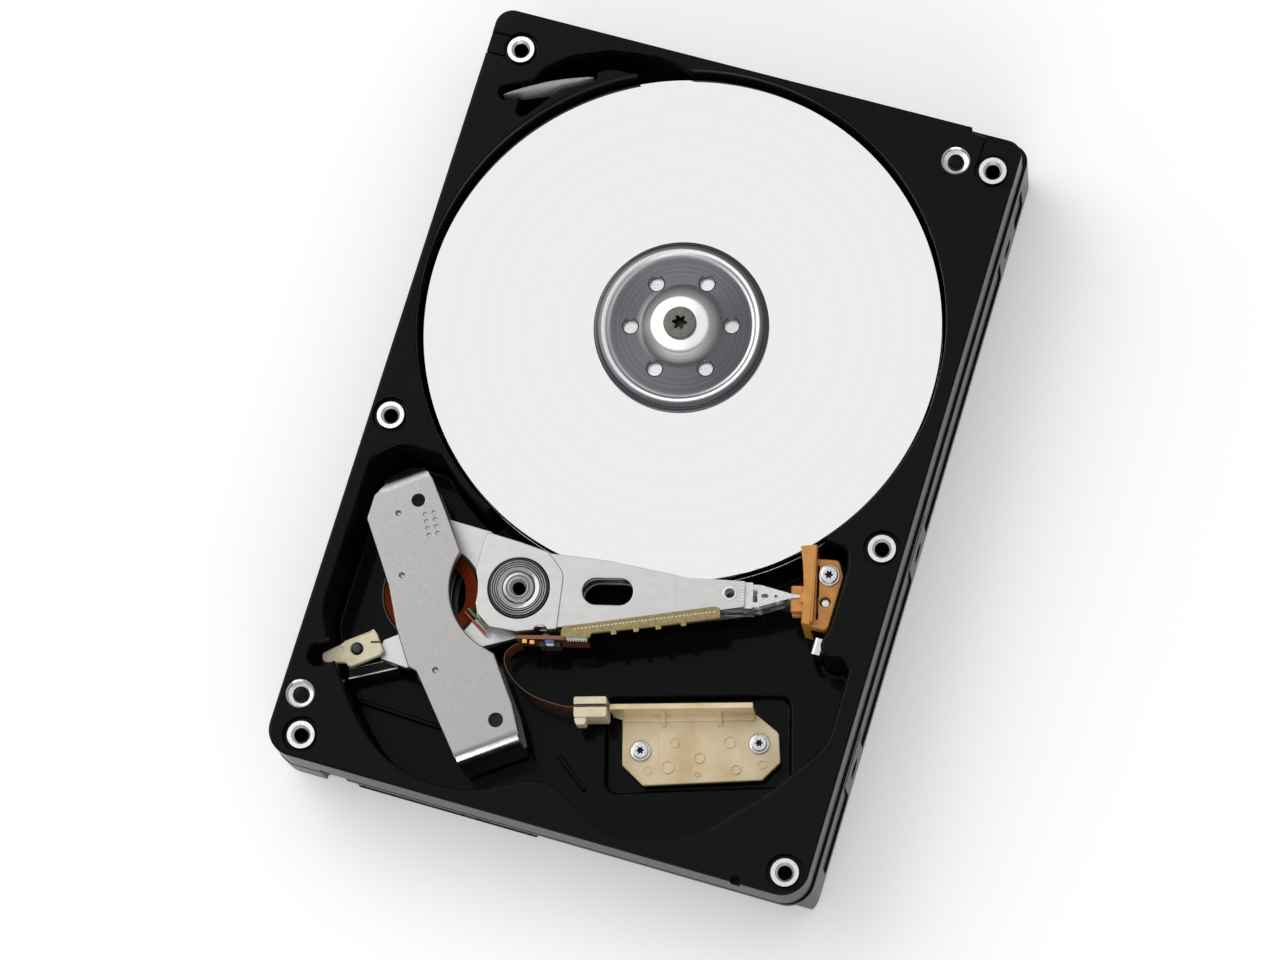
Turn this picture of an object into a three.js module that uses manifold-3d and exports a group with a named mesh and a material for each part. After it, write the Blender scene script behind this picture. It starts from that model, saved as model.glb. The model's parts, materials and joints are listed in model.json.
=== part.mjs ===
// A 3.5-inch hard disk drive with its cover off: an open casting that holds two platters on a
// spindle motor, a swinging actuator with four heads, its voice-coil motor, the parking ramp,
// the shipping latch, the flexible cable and, underneath, the circuit board.
//
// Millimetres. +Z is up, +Y points away from the connector end, and the origin is the centre
// of the drive's bounding box at its base.

import * as THREE from 'three';
import { mergeVertices } from 'three/addons/utils/BufferGeometryUtils.js';
import Module from 'manifold-3d';

const wasm = await Module();
wasm.setup();

// ---------------------------------------------------------------- driving dimensions

const LENGTH = 147.0;
const WIDTH = 101.6;
const HEIGHT = 26.1;
const HALF_LENGTH = LENGTH / 2;
const HALF_WIDTH = WIDTH / 2;

const FIT = 0.1;            // gap between stacked or seated pieces
const THROUGH = 1.0;        // how far a cutting tool runs past the face it cuts

// Casting
const FLANGE_INSET = 0.4;   // the upper walls stand back from the lower ones
const FLANGE_END = 71.65;   // far end of the upper wall
const PARTING_Z = 15.8;     // height of the groove between upper and lower walls
const PARTING_GAP = 0.5;
const CORNER_RADIUS = 5.0;
const REAR_CORNER_RADIUS = 3.2;
const RAIL_WIDTH = 5.8;     // side rails that the drive stands on
const UNDER_DECK = 6.5;     // depth of the recess for the circuit board
const DISK_FLOOR = 12.5;
const BASIN_FLOOR = 10.5;
const POCKET_FLOOR = 8.3;
const END_BAND_Z = 14.1;    // lower edge of the full-length wall at the connector end
const RAIL_SETBACK = 2.6;   // how far the rails stop short of that wall
const LEFT_CORNER_Z = 9;    // lower edge of the wall's left corner
const END_RECESS = 1.7;

// Standard mounting holes, from the connector end and from the base
const SIDE_HOLE_Z = 6.35;
const SIDE_HOLES = [28.5, 70.1, 130.1];
const BASE_HOLES = [41.28, 85.73];
const BASE_HOLE_X = 47.62;
const MOUNT_HOLE_R = 1.6;

// Spindle
const SPINDLE = [-0.7, 22.15];
const PLATTER_R = 47.5;
const PLATTER_BORE_R = 12.5;
const PLATTER_T = 1.27;
const PLATTER_GAP = 2.76;
const PLATTER_TOP = 22.3;
const CAVITY_R = 48.3;
const LIP_R = 49.5;
const CLAMP_R = 16.05;
const MOTOR_BORE_R = 13.2;
const MOTOR_BOSS_R = 17;
const MOTOR_FLOOR = 2.8;

// Actuator: its own frame has the pivot at the origin and +X towards the heads
const PIVOT = [-14.7, -32.7];
const PARK_ANGLE = 14.2;
const BLOCK_BOTTOM = 15.3;
const BLOCK_TOP = 24.2;
const ARM_T = 0.9;
const ARM_LEVELS = [15.3, 19.2, 23.1];
const COIL_BOTTOM = 16.5;
const COIL_TOP = 19.1;
const SLEEVE_R = 5.45;
const PIVOT_SHAFT_R = 2.9;
const HEAD_REACH = 50.8;

// Voice-coil motor
const YOKE_T = 1.5;
const YOKE_TOP = 24.9;
const YOKE_BASE = BASIN_FLOOR + FIT;
const YOKE_ARC_R = 12.5;
const MAGNET_ARC = [13.2, 22.8, 172, 246];

// Flexible cable bracket: its own frame has +X along the lip
const BRACKET_AT = [5.9, -47.4];
const BRACKET_ANGLE = 16.45;
const BRACKET_Z = 9.6;

// Circuit board
const BOARD_BOTTOM = 1.0;
const BOARD_T = 1.2;
const BOARD_TOP = BOARD_BOTTOM + BOARD_T;
const BOARD_SCREWS = [[-41, -60], [40.5, -60], [-40, -12], [40, -12], [4, -38]];

// ---------------------------------------------------------------- outlines

const radians = THREE.MathUtils.degToRad;

/** Point at a distance and angle (degrees) from a centre. */
function polar(centre, r, degrees) {
  const a = radians(degrees);
  return [centre[0] + r * Math.cos(a), centre[1] + r * Math.sin(a)];
}

/** Points along an arc, both ends included. */
function arc(centre, r, from, to, steps) {
  const points = [];
  for (let i = 0; i <= steps; i++) {
    points.push(polar(centre, r, from + ((to - from) * i) / steps));
  }
  return points;
}

/** The points of one corner [x, y, radius] rounded between its two neighbours. */
function roundCorner(before, corner, after, steps) {
  const radius = corner[2] ?? 0;
  const at = new THREE.Vector2(corner[0], corner[1]);
  if (radius === 0) return [at];
  const u = new THREE.Vector2(before[0], before[1]).sub(at).normalize();
  const v = new THREE.Vector2(after[0], after[1]).sub(at).normalize();
  const half = Math.acos(THREE.MathUtils.clamp(u.dot(v), -1, 1)) / 2;
  const reach = radius / Math.tan(half);
  const start = at.clone().addScaledVector(u, reach);
  const end = at.clone().addScaledVector(v, reach);
  const centre = at.clone().addScaledVector(u.clone().add(v).normalize(), radius / Math.sin(half));
  const a0 = Math.atan2(start.y - centre.y, start.x - centre.x);
  let turn = Math.atan2(end.y - centre.y, end.x - centre.x) - a0;
  if (turn > Math.PI) turn -= 2 * Math.PI;
  if (turn < -Math.PI) turn += 2 * Math.PI;
  const points = [];
  for (let i = 0; i <= steps; i++) {
    const a = a0 + (turn * i) / steps;
    points.push(new THREE.Vector2(centre.x + radius * Math.cos(a), centre.y + radius * Math.sin(a)));
  }
  return points;
}

/** A closed outline from corners [x, y, optional radius]. */
function outline(corners, steps = 3) {
  const count = corners.length;
  const points = corners.flatMap((corner, i) =>
    roundCorner(corners[(i + count - 1) % count], corner, corners[(i + 1) % count], steps));
  return new THREE.Shape(points);
}

function rectangle(x0, y0, x1, y1, radius = 0, steps = 3) {
  return outline([[x0, y0, radius], [x1, y0, radius], [x1, y1, radius], [x0, y1, radius]], steps);
}

/** A slot with round ends between two points. */
function capsule(from, to, radius, steps = 5) {
  const heading = THREE.MathUtils.radToDeg(Math.atan2(to[1] - from[1], to[0] - from[0]));
  const points = [
    ...arc(to, radius, heading - 90, heading + 90, steps),
    ...arc(from, radius, heading + 90, heading + 270, steps),
  ];
  return outline(points);
}

/** A ring sector between two radii and two angles. */
function sector(centre, rIn, rOut, from, to, steps) {
  return outline([...arc(centre, rIn, from, to, steps), ...arc(centre, rOut, to, from, steps)]);
}

// ---------------------------------------------------------------- solids

/** A manifold solid from any closed three.js geometry. */
function solid(geometry) {
  let source = geometry.clone();
  source.deleteAttribute('normal');
  source.deleteAttribute('uv');
  source = mergeVertices(source, 1e-5);
  const position = source.getAttribute('position').array;
  const triangles = [];
  let volume = 0;
  for (let i = 0; i < source.index.count; i += 3) {
    const [a, b, c] = [0, 1, 2].map((k) => source.index.getX(i + k));
    if (a === b || b === c || c === a) continue;
    triangles.push(a, b, c);
    const [p, q, r] = [a, b, c].map((k) => new THREE.Vector3().fromArray(position, 3 * k));
    volume += p.dot(q.cross(r));
  }
  if (volume < 0) triangles.reverse();
  return new wasm.Manifold(new wasm.Mesh({
    numProp: 3,
    vertProperties: new Float32Array(position),
    triVerts: new Uint32Array(triangles),
  }));
}

/** A flat outline extruded between two heights. */
function plate(shape, z0, z1) {
  const geometry = new THREE.ExtrudeGeometry(shape, { depth: z1 - z0, bevelEnabled: false });
  return solid(geometry.translate(0, 0, z0));
}

/** A profile of [r, z] points turned about +Z. */
function turned(profile, segments, centre = [0, 0]) {
  const points = [...profile, profile[0]].map(([r, z]) => new THREE.Vector2(r, z));
  const geometry = new THREE.LatheGeometry(points, segments).rotateX(Math.PI / 2);
  return solid(geometry.translate(centre[0], centre[1], 0));
}

function disc(centre, r, z0, z1, segments = 24) {
  return turned([[0, z0], [r, z0], [r, z1], [0, z1]], segments, centre);
}

function tube(centre, rIn, rOut, z0, z1, segments = 24) {
  return turned([[rIn, z0], [rOut, z0], [rOut, z1], [rIn, z1]], segments, centre);
}

function block(x0, y0, z0, x1, y1, z1) {
  const geometry = new THREE.BoxGeometry(x1 - x0, y1 - y0, z1 - z0);
  return solid(geometry.translate((x0 + x1) / 2, (y0 + y1) / 2, (z0 + z1) / 2));
}

/** A cylinder along X, for the holes in the side walls. */
function sideBore(x0, x1, y, z, r) {
  const geometry = new THREE.CylinderGeometry(r, r, x1 - x0, 10).rotateZ(Math.PI / 2);
  return solid(geometry.translate((x0 + x1) / 2, y, z));
}

const join = (first, ...rest) => rest.reduce((sum, piece) => sum.add(piece), first);
const cut = (first, ...tools) => tools.reduce((left, tool) => left.subtract(tool), first);

/** Turn a solid about +Z and move it to a place on the drive. */
const placed = (piece, degrees, at) => piece.rotate([0, 0, degrees]).translate([at[0], at[1], 0]);
const onActuator = (piece) => placed(piece, PARK_ANGLE, PIVOT);
const onBracket = (piece) => placed(piece, BRACKET_ANGLE, BRACKET_AT);

/** Place a point of a turned frame on the drive. */
function framePoint(point, degrees, at) {
  const v = new THREE.Vector2(point[0], point[1]).rotateAround(new THREE.Vector2(), radians(degrees));
  return [v.x + at[0], v.y + at[1]];
}

// ---------------------------------------------------------------- casting

const COVER_BOSSES = [
  [-44.2, 64.5], [46.2, 64.5], [-46.5, -8.6], [46.4, -8.6], [-44.2, -69.3], [46.2, -69.3]];
const BOSS_R = 2.55;
const BOSS_GROOVE_R = 3.3;
const BOSS_GROOVE_DEPTH = 1.3;
const COVER_SCREW_R = 1.3;
const COVER_SCREW_DEPTH = 9;
const COVER_PINS = { cover_pin_rear: [39.2, 64.6], cover_pin_front: [-46.6, -62.2] };
const PIN_R = 1.4;
const PIN_DEPTH = 8;
const PIN_COUNTERBORE = [2.35, 1.6];

/** Plan of the casting between its front and rear ends; the rear corners are tighter. */
function castingPlan(inset, front, rear, steps = 3) {
  const side = HALF_WIDTH - inset;
  return outline([
    [-side, front, CORNER_RADIUS], [side, front, CORNER_RADIUS],
    [side, rear, REAR_CORNER_RADIUS], [-side, rear, REAR_CORNER_RADIUS]], steps);
}

function castingBlank() {
  const lower = plate(castingPlan(0, -HALF_LENGTH, HALF_LENGTH), 0, PARTING_Z);
  const neck = plate(
    castingPlan(FLANGE_INSET + 1, 1 - HALF_LENGTH, FLANGE_END - 1),
    PARTING_Z - THROUGH, PARTING_Z + PARTING_GAP + THROUGH);
  const upper = plate(
    castingPlan(FLANGE_INSET, -HALF_LENGTH, FLANGE_END, 5), PARTING_Z + PARTING_GAP, HEIGHT);
  return join(lower, neck, upper);
}

/** The outline of the basin that holds the actuator, open to the disk cavity. */
function basinOutline() {
  return outline([
    ...arc(SPINDLE, LIP_R, 225.6, 241.4, 5), [-22, -18], [31, -8], [34, -9.4],
    [40.4, -10, 2], [41.6, -14, 1], [41.4, -25.2, 2], [39.8, -31, 2], [44.9, -29.4, 1.5],
    [46.9, -31.5, 1], [47, -45.5, 4], [39.8, -56.2, 4], [29.9, -66.8, 6], [21.5, -71.1, 6],
    [11.8, -71.1, 6], [3.2, -66, 4], [-0.6, -64.9, 3], [-12, -71.1, 8], [-26, -71.1, 8],
    [-35.6, -63.9, 6], [-44, -52.7, 3], [-47.6, -46.2, 3], [-47.6, -17.2, 2.5], [-43, -13, 4],
  ]);
}

/** The air channel, filter slot and notch beside the disk cavity. */
function filterRecess() {
  const channel = outline([
    [-41.3, 57.5], [-38.8, 62.4, 4], [-34.9, 65.8, 6], [-28.1, 68.7, 8], [-20, 69.8, 8],
    [-12, 68.9], [-12, 66.6], [-20.1, 65.6, 4], [-27.1, 65.3, 5], [-32, 62],
  ], 2);
  const notch = outline([[-41.6, 56.5], [-41.6, 51.2, 1], [-39.5, 52.7, 0.8], [-34, 60]], 2);
  const slot = capsule([-44.4, 55.9], [-30.4, 62.9], 1.5, 4);
  return [channel, notch, slot].map((shape) => plate(shape, DISK_FLOOR + 2, HEIGHT + THROUGH));
}

/** Hollow seen from above: disk cavity, actuator basin, cable pocket and ramp seat. */
function castingInterior() {
  const cavity = disc(SPINDLE, CAVITY_R, DISK_FLOOR, HEIGHT + THROUGH, 60);
  const basin = plate(basinOutline(), BASIN_FLOOR, HEIGHT + THROUGH);
  const pocketPlan = outline([[-1, -15.2, 2], [32.4, -14.3, 2], [32.4, 2.2, 2], [-1, 2.2, 2]]);
  const pocket = onBracket(plate(pocketPlan, POCKET_FLOOR, BASIN_FLOOR + THROUGH));
  const latchNotch = plate(capsule([-45.6, -54.4], [-42, -51.5], 2.2), 19, HEIGHT + THROUGH);
  return join(cavity, basin, pocket, latchNotch, ...filterRecess());
}

/** Ring groove and screw hole that leave a machined boss flush with the top. */
function coverBossCut(at) {
  const top = HEIGHT + THROUGH;
  const groove = tube(at, BOSS_R, BOSS_GROOVE_R, HEIGHT - BOSS_GROOVE_DEPTH, top, 12);
  return join(groove, disc(at, COVER_SCREW_R, HEIGHT - COVER_SCREW_DEPTH, top, 8));
}

function coverPinCut(at) {
  const [radius, depth] = PIN_COUNTERBORE;
  return join(
    disc(at, radius, HEIGHT - depth, HEIGHT + THROUGH, 12),
    disc(at, PIN_R + 0.3, HEIGHT - PIN_DEPTH, HEIGHT, 12));
}

/** Steps in the top face round the bosses: rear corner ledge, boss platform and vent channel. */
function topSteps() {
  const steps = join(
    plate(outline([[39.2, 73], [40.6, 70.6, 0.6], [52, 70], [52, 73]]), HEIGHT - 2.7, HEIGHT + THROUGH),
    block(43.2, 62.3, HEIGHT - 0.9, 52, 71, HEIGHT + THROUGH),
    block(-52, 62.4, HEIGHT - 0.7, -44.2, 66.6, HEIGHT + THROUGH));
  return cut(steps, ...COVER_BOSSES.map((at) => disc(at, BOSS_R, HEIGHT - 3, HEIGHT + 1, 12)));
}

/** Recess under the deck, with the motor boss and the screw pads left standing. */
function undersideRecess() {
  const railX = HALF_WIDTH - RAIL_WIDTH;
  const recess = join(
    plate(rectangle(-railX, -66, railX, HALF_LENGTH - 4.5, 4), -THROUGH, UNDER_DECK),
    block(-36.4, -HALF_LENGTH - 1, -THROUGH, 38, -60, UNDER_DECK + 1));
  const ribRing = tube(SPINDLE, MOTOR_BOSS_R + 3, 43, UNDER_DECK - THROUGH, DISK_FLOOR - 3, 32);
  const ribs = [0, 60, 120].map((degrees) =>
    placed(block(-45, -1, 0, 45, 1, DISK_FLOOR), degrees + 15, SPINDLE));
  const keep = [
    disc(SPINDLE, MOTOR_BOSS_R, 1.2, DISK_FLOOR, 32),
    ...BOARD_SCREWS.map((at) => disc(at, 3, BOARD_TOP + FIT, DISK_FLOOR, 10)),
  ];
  return cut(join(recess, cut(ribRing, ...ribs)), ...keep);
}

function castingHoles() {
  const boardHoles = BOARD_SCREWS.map((at) => disc(at, 1.25, 0, 6.2, 8));
  const baseHoles = BASE_HOLES.flatMap((along) => [-1, 1].map((side) =>
    disc([side * BASE_HOLE_X, along - HALF_LENGTH], MOUNT_HOLE_R, -THROUGH, 5, 10)));
  const sideHoles = SIDE_HOLES.flatMap((along) => [-1, 1].map((side) => {
    const outer = side * (HALF_WIDTH + THROUGH);
    const inner = side * (HALF_WIDTH - 4);
    const y = along - HALF_LENGTH;
    return sideBore(Math.min(inner, outer), Math.max(inner, outer), y, SIDE_HOLE_Z, MOUNT_HOLE_R);
  }));
  const connectorSlot = onBracket(block(8, -6.6, 0, 24, -2.6, BASIN_FLOOR));
  const contactSlot = block(-6.7, 2.2, 0, 5.3, 4.4, DISK_FLOOR);
  return [...boardHoles, ...baseHoles, ...sideHoles, connectorSlot, contactSlot];
}

/** Side relief between the mounting pads, which leaves each hole in a raised pad. */
function sideReliefs() {
  const padHalf = 4.6;
  const edges = [-HALF_LENGTH + 9, ...SIDE_HOLES.flatMap((along) =>
    [along - HALF_LENGTH - padHalf, along - HALF_LENGTH + padHalf]), HALF_LENGTH - 7];
  const reliefs = [];
  for (let i = 0; i < edges.length; i += 2) {
    for (const side of [-1, 1]) {
      const x = [side * (HALF_WIDTH - 0.35), side * (HALF_WIDTH + 1)].sort((a, b) => a - b);
      reliefs.push(block(x[0], edges[i], 2.5, x[1], edges[i + 1], 12.5));
    }
  }
  return reliefs;
}

/** Connector end: the board's bay, and both rails set back under the wall. */
function endRecesses() {
  const front = -HALF_LENGTH - 1;
  return join(
    block(-36.4, front, -THROUGH, 38, -HALF_LENGTH + END_RECESS, END_BAND_Z),
    block(-40.7, front, -THROUGH, -36, -HALF_LENGTH + 1, END_BAND_Z + 4),
    block(-52, front, -THROUGH, -36, -HALF_LENGTH + RAIL_SETBACK, LEFT_CORNER_Z),
    block(37.5, front, -THROUGH, 52, -HALF_LENGTH + RAIL_SETBACK, END_BAND_Z));
}

function baseCasting() {
  const motorBore = disc(SPINDLE, MOTOR_BORE_R, MOTOR_FLOOR, DISK_FLOOR + THROUGH, 32);
  return cut(
    castingBlank(), castingInterior(), undersideRecess(), endRecesses(), motorBore, topSteps(),
    ...COVER_BOSSES.map(coverBossCut), ...Object.values(COVER_PINS).map(coverPinCut),
    ...castingHoles(), ...sideReliefs());
}

const coverPin = (at) => disc(at, PIN_R, HEIGHT - PIN_DEPTH + FIT, HEIGHT - FIT, 12);

/** Pillow of filter felt standing in its slot. */
function recirculationFilter() {
  const body = capsule([-44.2, 56], [-30.6, 62.8], 1.15, 4);
  return plate(body, DISK_FLOOR + 2 + FIT, 25.4);
}

// ---------------------------------------------------------------- spindle

const LOWER_PLATTER_TOP = PLATTER_TOP - PLATTER_T - PLATTER_GAP;
const HUB_TOP = PLATTER_TOP - FIT;
const HUB_SEAT = LOWER_PLATTER_TOP - PLATTER_T - FIT;
const SLEEVE_BORE_R = 3.3;

function motorBase() {
  return turned([
    [SLEEVE_BORE_R, MOTOR_FLOOR + FIT], [MOTOR_BORE_R - FIT, MOTOR_FLOOR + FIT],
    [MOTOR_BORE_R - FIT, MOTOR_FLOOR + 1.3], [5.5, MOTOR_FLOOR + 1.3], [5.5, 15.5], [SLEEVE_BORE_R, 15.5],
  ], 24, SPINDLE);
}

/** Nine wound teeth on one ring. */
function woundStator() {
  const ring = tube([0, 0], 5.7, 7, 6, 9.4, 18);
  const teeth = [];
  for (let i = 0; i < 9; i++) {
    const tooth = block(6.6, -1.2, 6.2, 10.2, 1.2, 9.2);
    teeth.push(tooth.rotate([0, 0, i * 40]));
  }
  return placed(join(ring, ...teeth), 0, SPINDLE);
}

const rotorMagnet = () => tube(SPINDLE, 10.75, 11.25, 5.4, 10.4, 32);

function spindleHub() {
  const cap = HUB_TOP - 4;
  const profile = [
    [1.65, cap], [11.4, cap], [11.4, 5], [12.4, 5], [12.4, HUB_SEAT - 1], [15.6, HUB_SEAT - 1],
    [15.6, HUB_SEAT], [12.4, HUB_SEAT], [12.4, HUB_TOP], [1.65, HUB_TOP],
  ];
  return turned(profile, 32, SPINDLE);
}

const spindleShaft = () => disc(SPINDLE, 3, MOTOR_FLOOR + 0.5, HUB_TOP - 4 - FIT);

function platter(top) {
  return tube(SPINDLE, PLATTER_BORE_R, PLATTER_R, top - PLATTER_T, top, 60);
}

const platterSpacer = () => tube(
  SPINDLE, PLATTER_BORE_R, 16, LOWER_PLATTER_TOP + FIT, PLATTER_TOP - PLATTER_T - FIT, 32);

/** Pressed steel clamp: raised rim, flat web with six tool holes, raised centre. */
function diskClamp() {
  const seat = PLATTER_TOP + FIT;
  const shell = turned([
    [1.75, seat + 1.8], [2.6, seat + 1.8], [5.6, seat], [CLAMP_R, seat], [CLAMP_R, seat + 1.2],
    [14.1, seat + 1.4], [13.5, seat + 1], [6.3, seat + 1], [3.3, seat + 2.6], [1.75, seat + 2.6],
  ], 32);
  const holes = [];
  for (let i = 0; i < 6; i++) {
    holes.push(disc(polar([0, 0], 9.25, i * 60), 1.35, seat - 1, seat + 3, 8));
  }
  return placed(cut(shell, ...holes), 15.5, SPINDLE);
}

/** A screw with a flat head and a six-sided drive, standing on +Z. */
function screw(at, headR, headBottom, headTop, shankR, shankBottom) {
  const body = turned([
    [0, shankBottom], [shankR, shankBottom], [shankR, headBottom], [headR, headBottom],
    [headR, headTop], [0, headTop],
  ], 16, at);
  return cut(body, disc(at, 0.45 * headR, (headBottom + headTop) / 2, headTop + 1, 6));
}

const clampScrew = () => screw(SPINDLE, 3, PLATTER_TOP + 2.8, PLATTER_TOP + 3.6, 1.5, HUB_TOP - 3.6);

// ---------------------------------------------------------------- actuator

const ARM_TIP = 40.8;

/** The machined block round the pivot bearing, in the actuator's frame. */
function actuatorBlock() {
  const body = outline([
    [-6.3, 10.3, 1], [0, 8.5, 1], [5.1, 6.8, 1], [8.1, 3], [7.3, -7.3], [5.6, -7.5],
    ...arc([4.3, -8], 1.3, 22, 158, 4), [3, -7.6], [-0.2, -8], [-7, -7], [-7.9, -2], [-7.9, 3], [-7.2, 6.5],
  ]);
  return plate(body, BLOCK_BOTTOM, BLOCK_TOP);
}

/** One arm with its lightening slot and swage hole. */
function headArm(z) {
  const arm = outline([
    [0, 8.2], [5.1, 6.6], [11.1, 6.0], [16.4, 5.4], [24.2, 3.9], [30.5, 2.7], [ARM_TIP, 2.3, 0.6],
    [ARM_TIP, -2.4, 0.6], [36.3, -3.1], [7.3, -7], [0, -7],
  ], 2);
  return cut(
    plate(arm, z, z + ARM_T),
    plate(capsule([14, -0.2], [18.2, -0.2], 2.45, 6), z - 1, z + 2),
    disc([38.1, 0], 0.95, z - 1, z + 2, 8));
}

/** The two arms of the fork round the coil; the lower one ends in the latch tail. */
function coilFork() {
  const fork = outline([
    [0, 7, 0], [-6.3, 11.6], [-14.3, 13.7], [-20.4, 15.2, 1], [-20.8, 8, 0.8], [-12, 0], [-20, -7],
    [-25, -9.2, 0.8], [-25.6, -12.5, 1], [-20.4, -14.2, 1], [-6.3, -9.9], [-0.2, -8], [0, -6.5],
  ], 2);
  return plate(fork, COIL_BOTTOM, COIL_TOP);
}

function actuatorCarriage() {
  const body = join(actuatorBlock(), ...ARM_LEVELS.map(headArm), coilFork());
  const bore = disc([0, 0], SLEEVE_R + 0.15, BLOCK_BOTTOM - 1, BLOCK_TOP + 1, 24);
  const coilBay = coilPlate(COIL_BOND + FIT, BLOCK_BOTTOM - 1, BLOCK_TOP + 1);
  return onActuator(cut(body, bore, coilBay));
}

const PIVOT_PLAY = 0.3;
const pivotSleeve = () => tube(
  PIVOT, PIVOT_SHAFT_R + PIVOT_PLAY, SLEEVE_R, BLOCK_BOTTOM, BLOCK_TOP + 0.4, 24);

function pivotShaft() {
  return turned([
    [0, BASIN_FLOOR + FIT], [5, BASIN_FLOOR + FIT], [5, 12], [PIVOT_SHAFT_R, 12.6],
    [PIVOT_SHAFT_R, BLOCK_TOP + 0.5], [1.2, BLOCK_TOP + 0.5], [1.2, 20], [0, 20],
  ], 16, PIVOT);
}

const COIL_TILT = 1.2;
const COIL_WINDING = 2.4;
const COIL_BOND = 0.5;      // width of the band of resin round the coil

/** A plate with the outline of the coil, grown by an offset, in the actuator's frame. */
function coilPlate(offset, z0, z1) {
  const nearRound = 8 + offset;
  const farRound = 8.3 + offset;
  const [inner, outer] = [-8 + offset, -25.2 - offset];
  const [nearHalf, farHalf] = [7.7 + offset, 9.2 + offset];
  const coil = outline([[inner, -nearHalf, nearRound], [inner, nearHalf, nearRound],
    [outer, farHalf, farRound], [outer, -farHalf, farRound]], 5);
  return plate(coil, z0, z1).rotate([0, 0, COIL_TILT]);
}

/** A closed band between two grown outlines of the coil. */
const coilBand = (grow, shrink, z0, z1) => onActuator(
  cut(coilPlate(grow, z0, z1), coilPlate(shrink, z0 - 1, z1 + 1)));

const voiceCoil = () => coilBand(0, -COIL_WINDING, COIL_BOTTOM, COIL_TOP);
const coilFrame = () => coilBand(COIL_BOND, FIT, COIL_BOTTOM + 0.3, COIL_TOP - 0.2);

/** Suspension with its mount plate, load beam, lift tab and slider. */
function suspension(armFace, outward) {
  const sheet = 0.2;
  const level = (...gaps) => gaps.map((gap) => armFace + outward * gap).sort((a, b) => a - b);
  const mount = outline([[35.4, -2.4], [42.8, -2.6], [42.8, 2.4], [35.4, 2.3]]);
  const beam = outline([
    [42.4, -2.3], [49.2, -0.35], [HEAD_REACH, -0.25], [HEAD_REACH, 0.25], [49.2, 0.35], [42.4, 2]]);
  const plates = cut(
    join(plate(mount, ...level(FIT, FIT + sheet)), plate(beam, ...level(FIT, FIT + sheet))),
    disc([38.1, 0], 0.75, armFace - 2, armFace + 2, 8));
  const [low, high] = level(FIT, 0.65);
  return onActuator(join(plates, block(47.2, -0.5, low, 48.5, 0.5, high)));
}

/** The rigid end of the cable on the side of the block. */
const actuatorFlex = () => onActuator(block(-0.4, -8.9, 15.6, 12.6, -8.2, 22.4));
const preampChip = () => onActuator(block(3.8, -9.9, 17, 7.6, -9, 21));

/** Printed strip that carries the head wires along the edge of the top arm. */
function traceTail() {
  const top = ARM_LEVELS[2] + ARM_T;
  const strip = outline([[8.2, -7.3], [36.4, -3.5], [36.6, -4.5], [13.5, -7.9], [13.2, -8.7], [8, -8.7]]);
  return onActuator(plate(strip, top - 1, top - 0.2));
}

// ---------------------------------------------------------------- voice-coil motor

const YOKE_EDGE = 36.1;     // direction of the yoke's bent ends

/** Plan of the yoke plates: a bridge with a round bite that clears the pivot. */
function yokeOutline() {
  return outline([
    [-44, -21.4], [-37.2, -16.4], [-35.7, -17.5, 1], [-31.3, -23.1],
    ...arc(PIVOT, YOKE_ARC_R, 164, 256, 8),
    [-15.3, -45.5], [-9.4, -53.4], [-6.6, -58.4], [-16.5, -65.7], [-27.9, -52.4, 1], [-29.5, -52.1, 1],
    [-34, -45.5], [-37.5, -38.8], [-40.7, -34.2], [-45.1, -28, 1], [-45.1, -23.4, 1],
  ], 2);
}

/** One bent end, from the top plate down to the bottom one; side is +1 or -1 across the bend. */
function yokeFlange(at, width, side) {
  const thickness = 1.2;
  const outside = side * 1.5;
  const across = (from, to) => [from, to].sort((p, q) => p - q);
  const [wallLow, wallHigh] = across(outside - side * thickness, outside);
  const [bendLow, bendHigh] = across(-side * 0.6, outside - side * 0.4);
  const wall = block(0.2, wallLow, YOKE_BASE + YOKE_T + FIT, width - 0.2, wallHigh, YOKE_TOP - 0.5);
  const bend = block(0.2, bendLow, YOKE_TOP - YOKE_T + 0.1, width - 0.2, bendHigh, YOKE_TOP - 0.1);
  return placed(join(wall, bend), YOKE_EDGE, at);
}

const YOKE_HOLES = [
  [-37, -22.2, 1.2], [-11.4, -57, 1.3], [-39.8, -25.5, 0.5], [-35.7, -36.3, 0.5], [-24.6, -51.3, 0.5]];

function topYoke() {
  const deck = plate(yokeOutline(), YOKE_TOP - YOKE_T, YOKE_TOP);
  const holes = YOKE_HOLES.map(([x, y, r]) => disc([x, y], r, YOKE_TOP - 3, YOKE_TOP + 1, 8));
  return cut(
    join(deck, yokeFlange([-44, -21.4], 8.4, 1), yokeFlange([-16.5, -65.7], 12.2, -1)), ...holes);
}

const bottomYoke = () => plate(yokeOutline(), YOKE_BASE, YOKE_BASE + YOKE_T);
const magnet = (z0, z1) => {
  const [rIn, rOut, from, to] = MAGNET_ARC;
  return plate(sector(PIVOT, rIn, rOut, from, to, 10), z0, z1);
};

/** Upright stop that the coil fork meets beyond the latch. */
const crashStop = () => plate(outline([
  [-41.3, -55.9], [-33.1, -51.4], [-34.2, -49.5], [-42, -53.8]]), BASIN_FLOOR + FIT, 15.4);

// ---------------------------------------------------------------- latch

const LATCH_POST = [-40.3, -50.8];
const LATCH_BOTTOM = 19.6;
const LATCH_TOP = 21;

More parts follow.
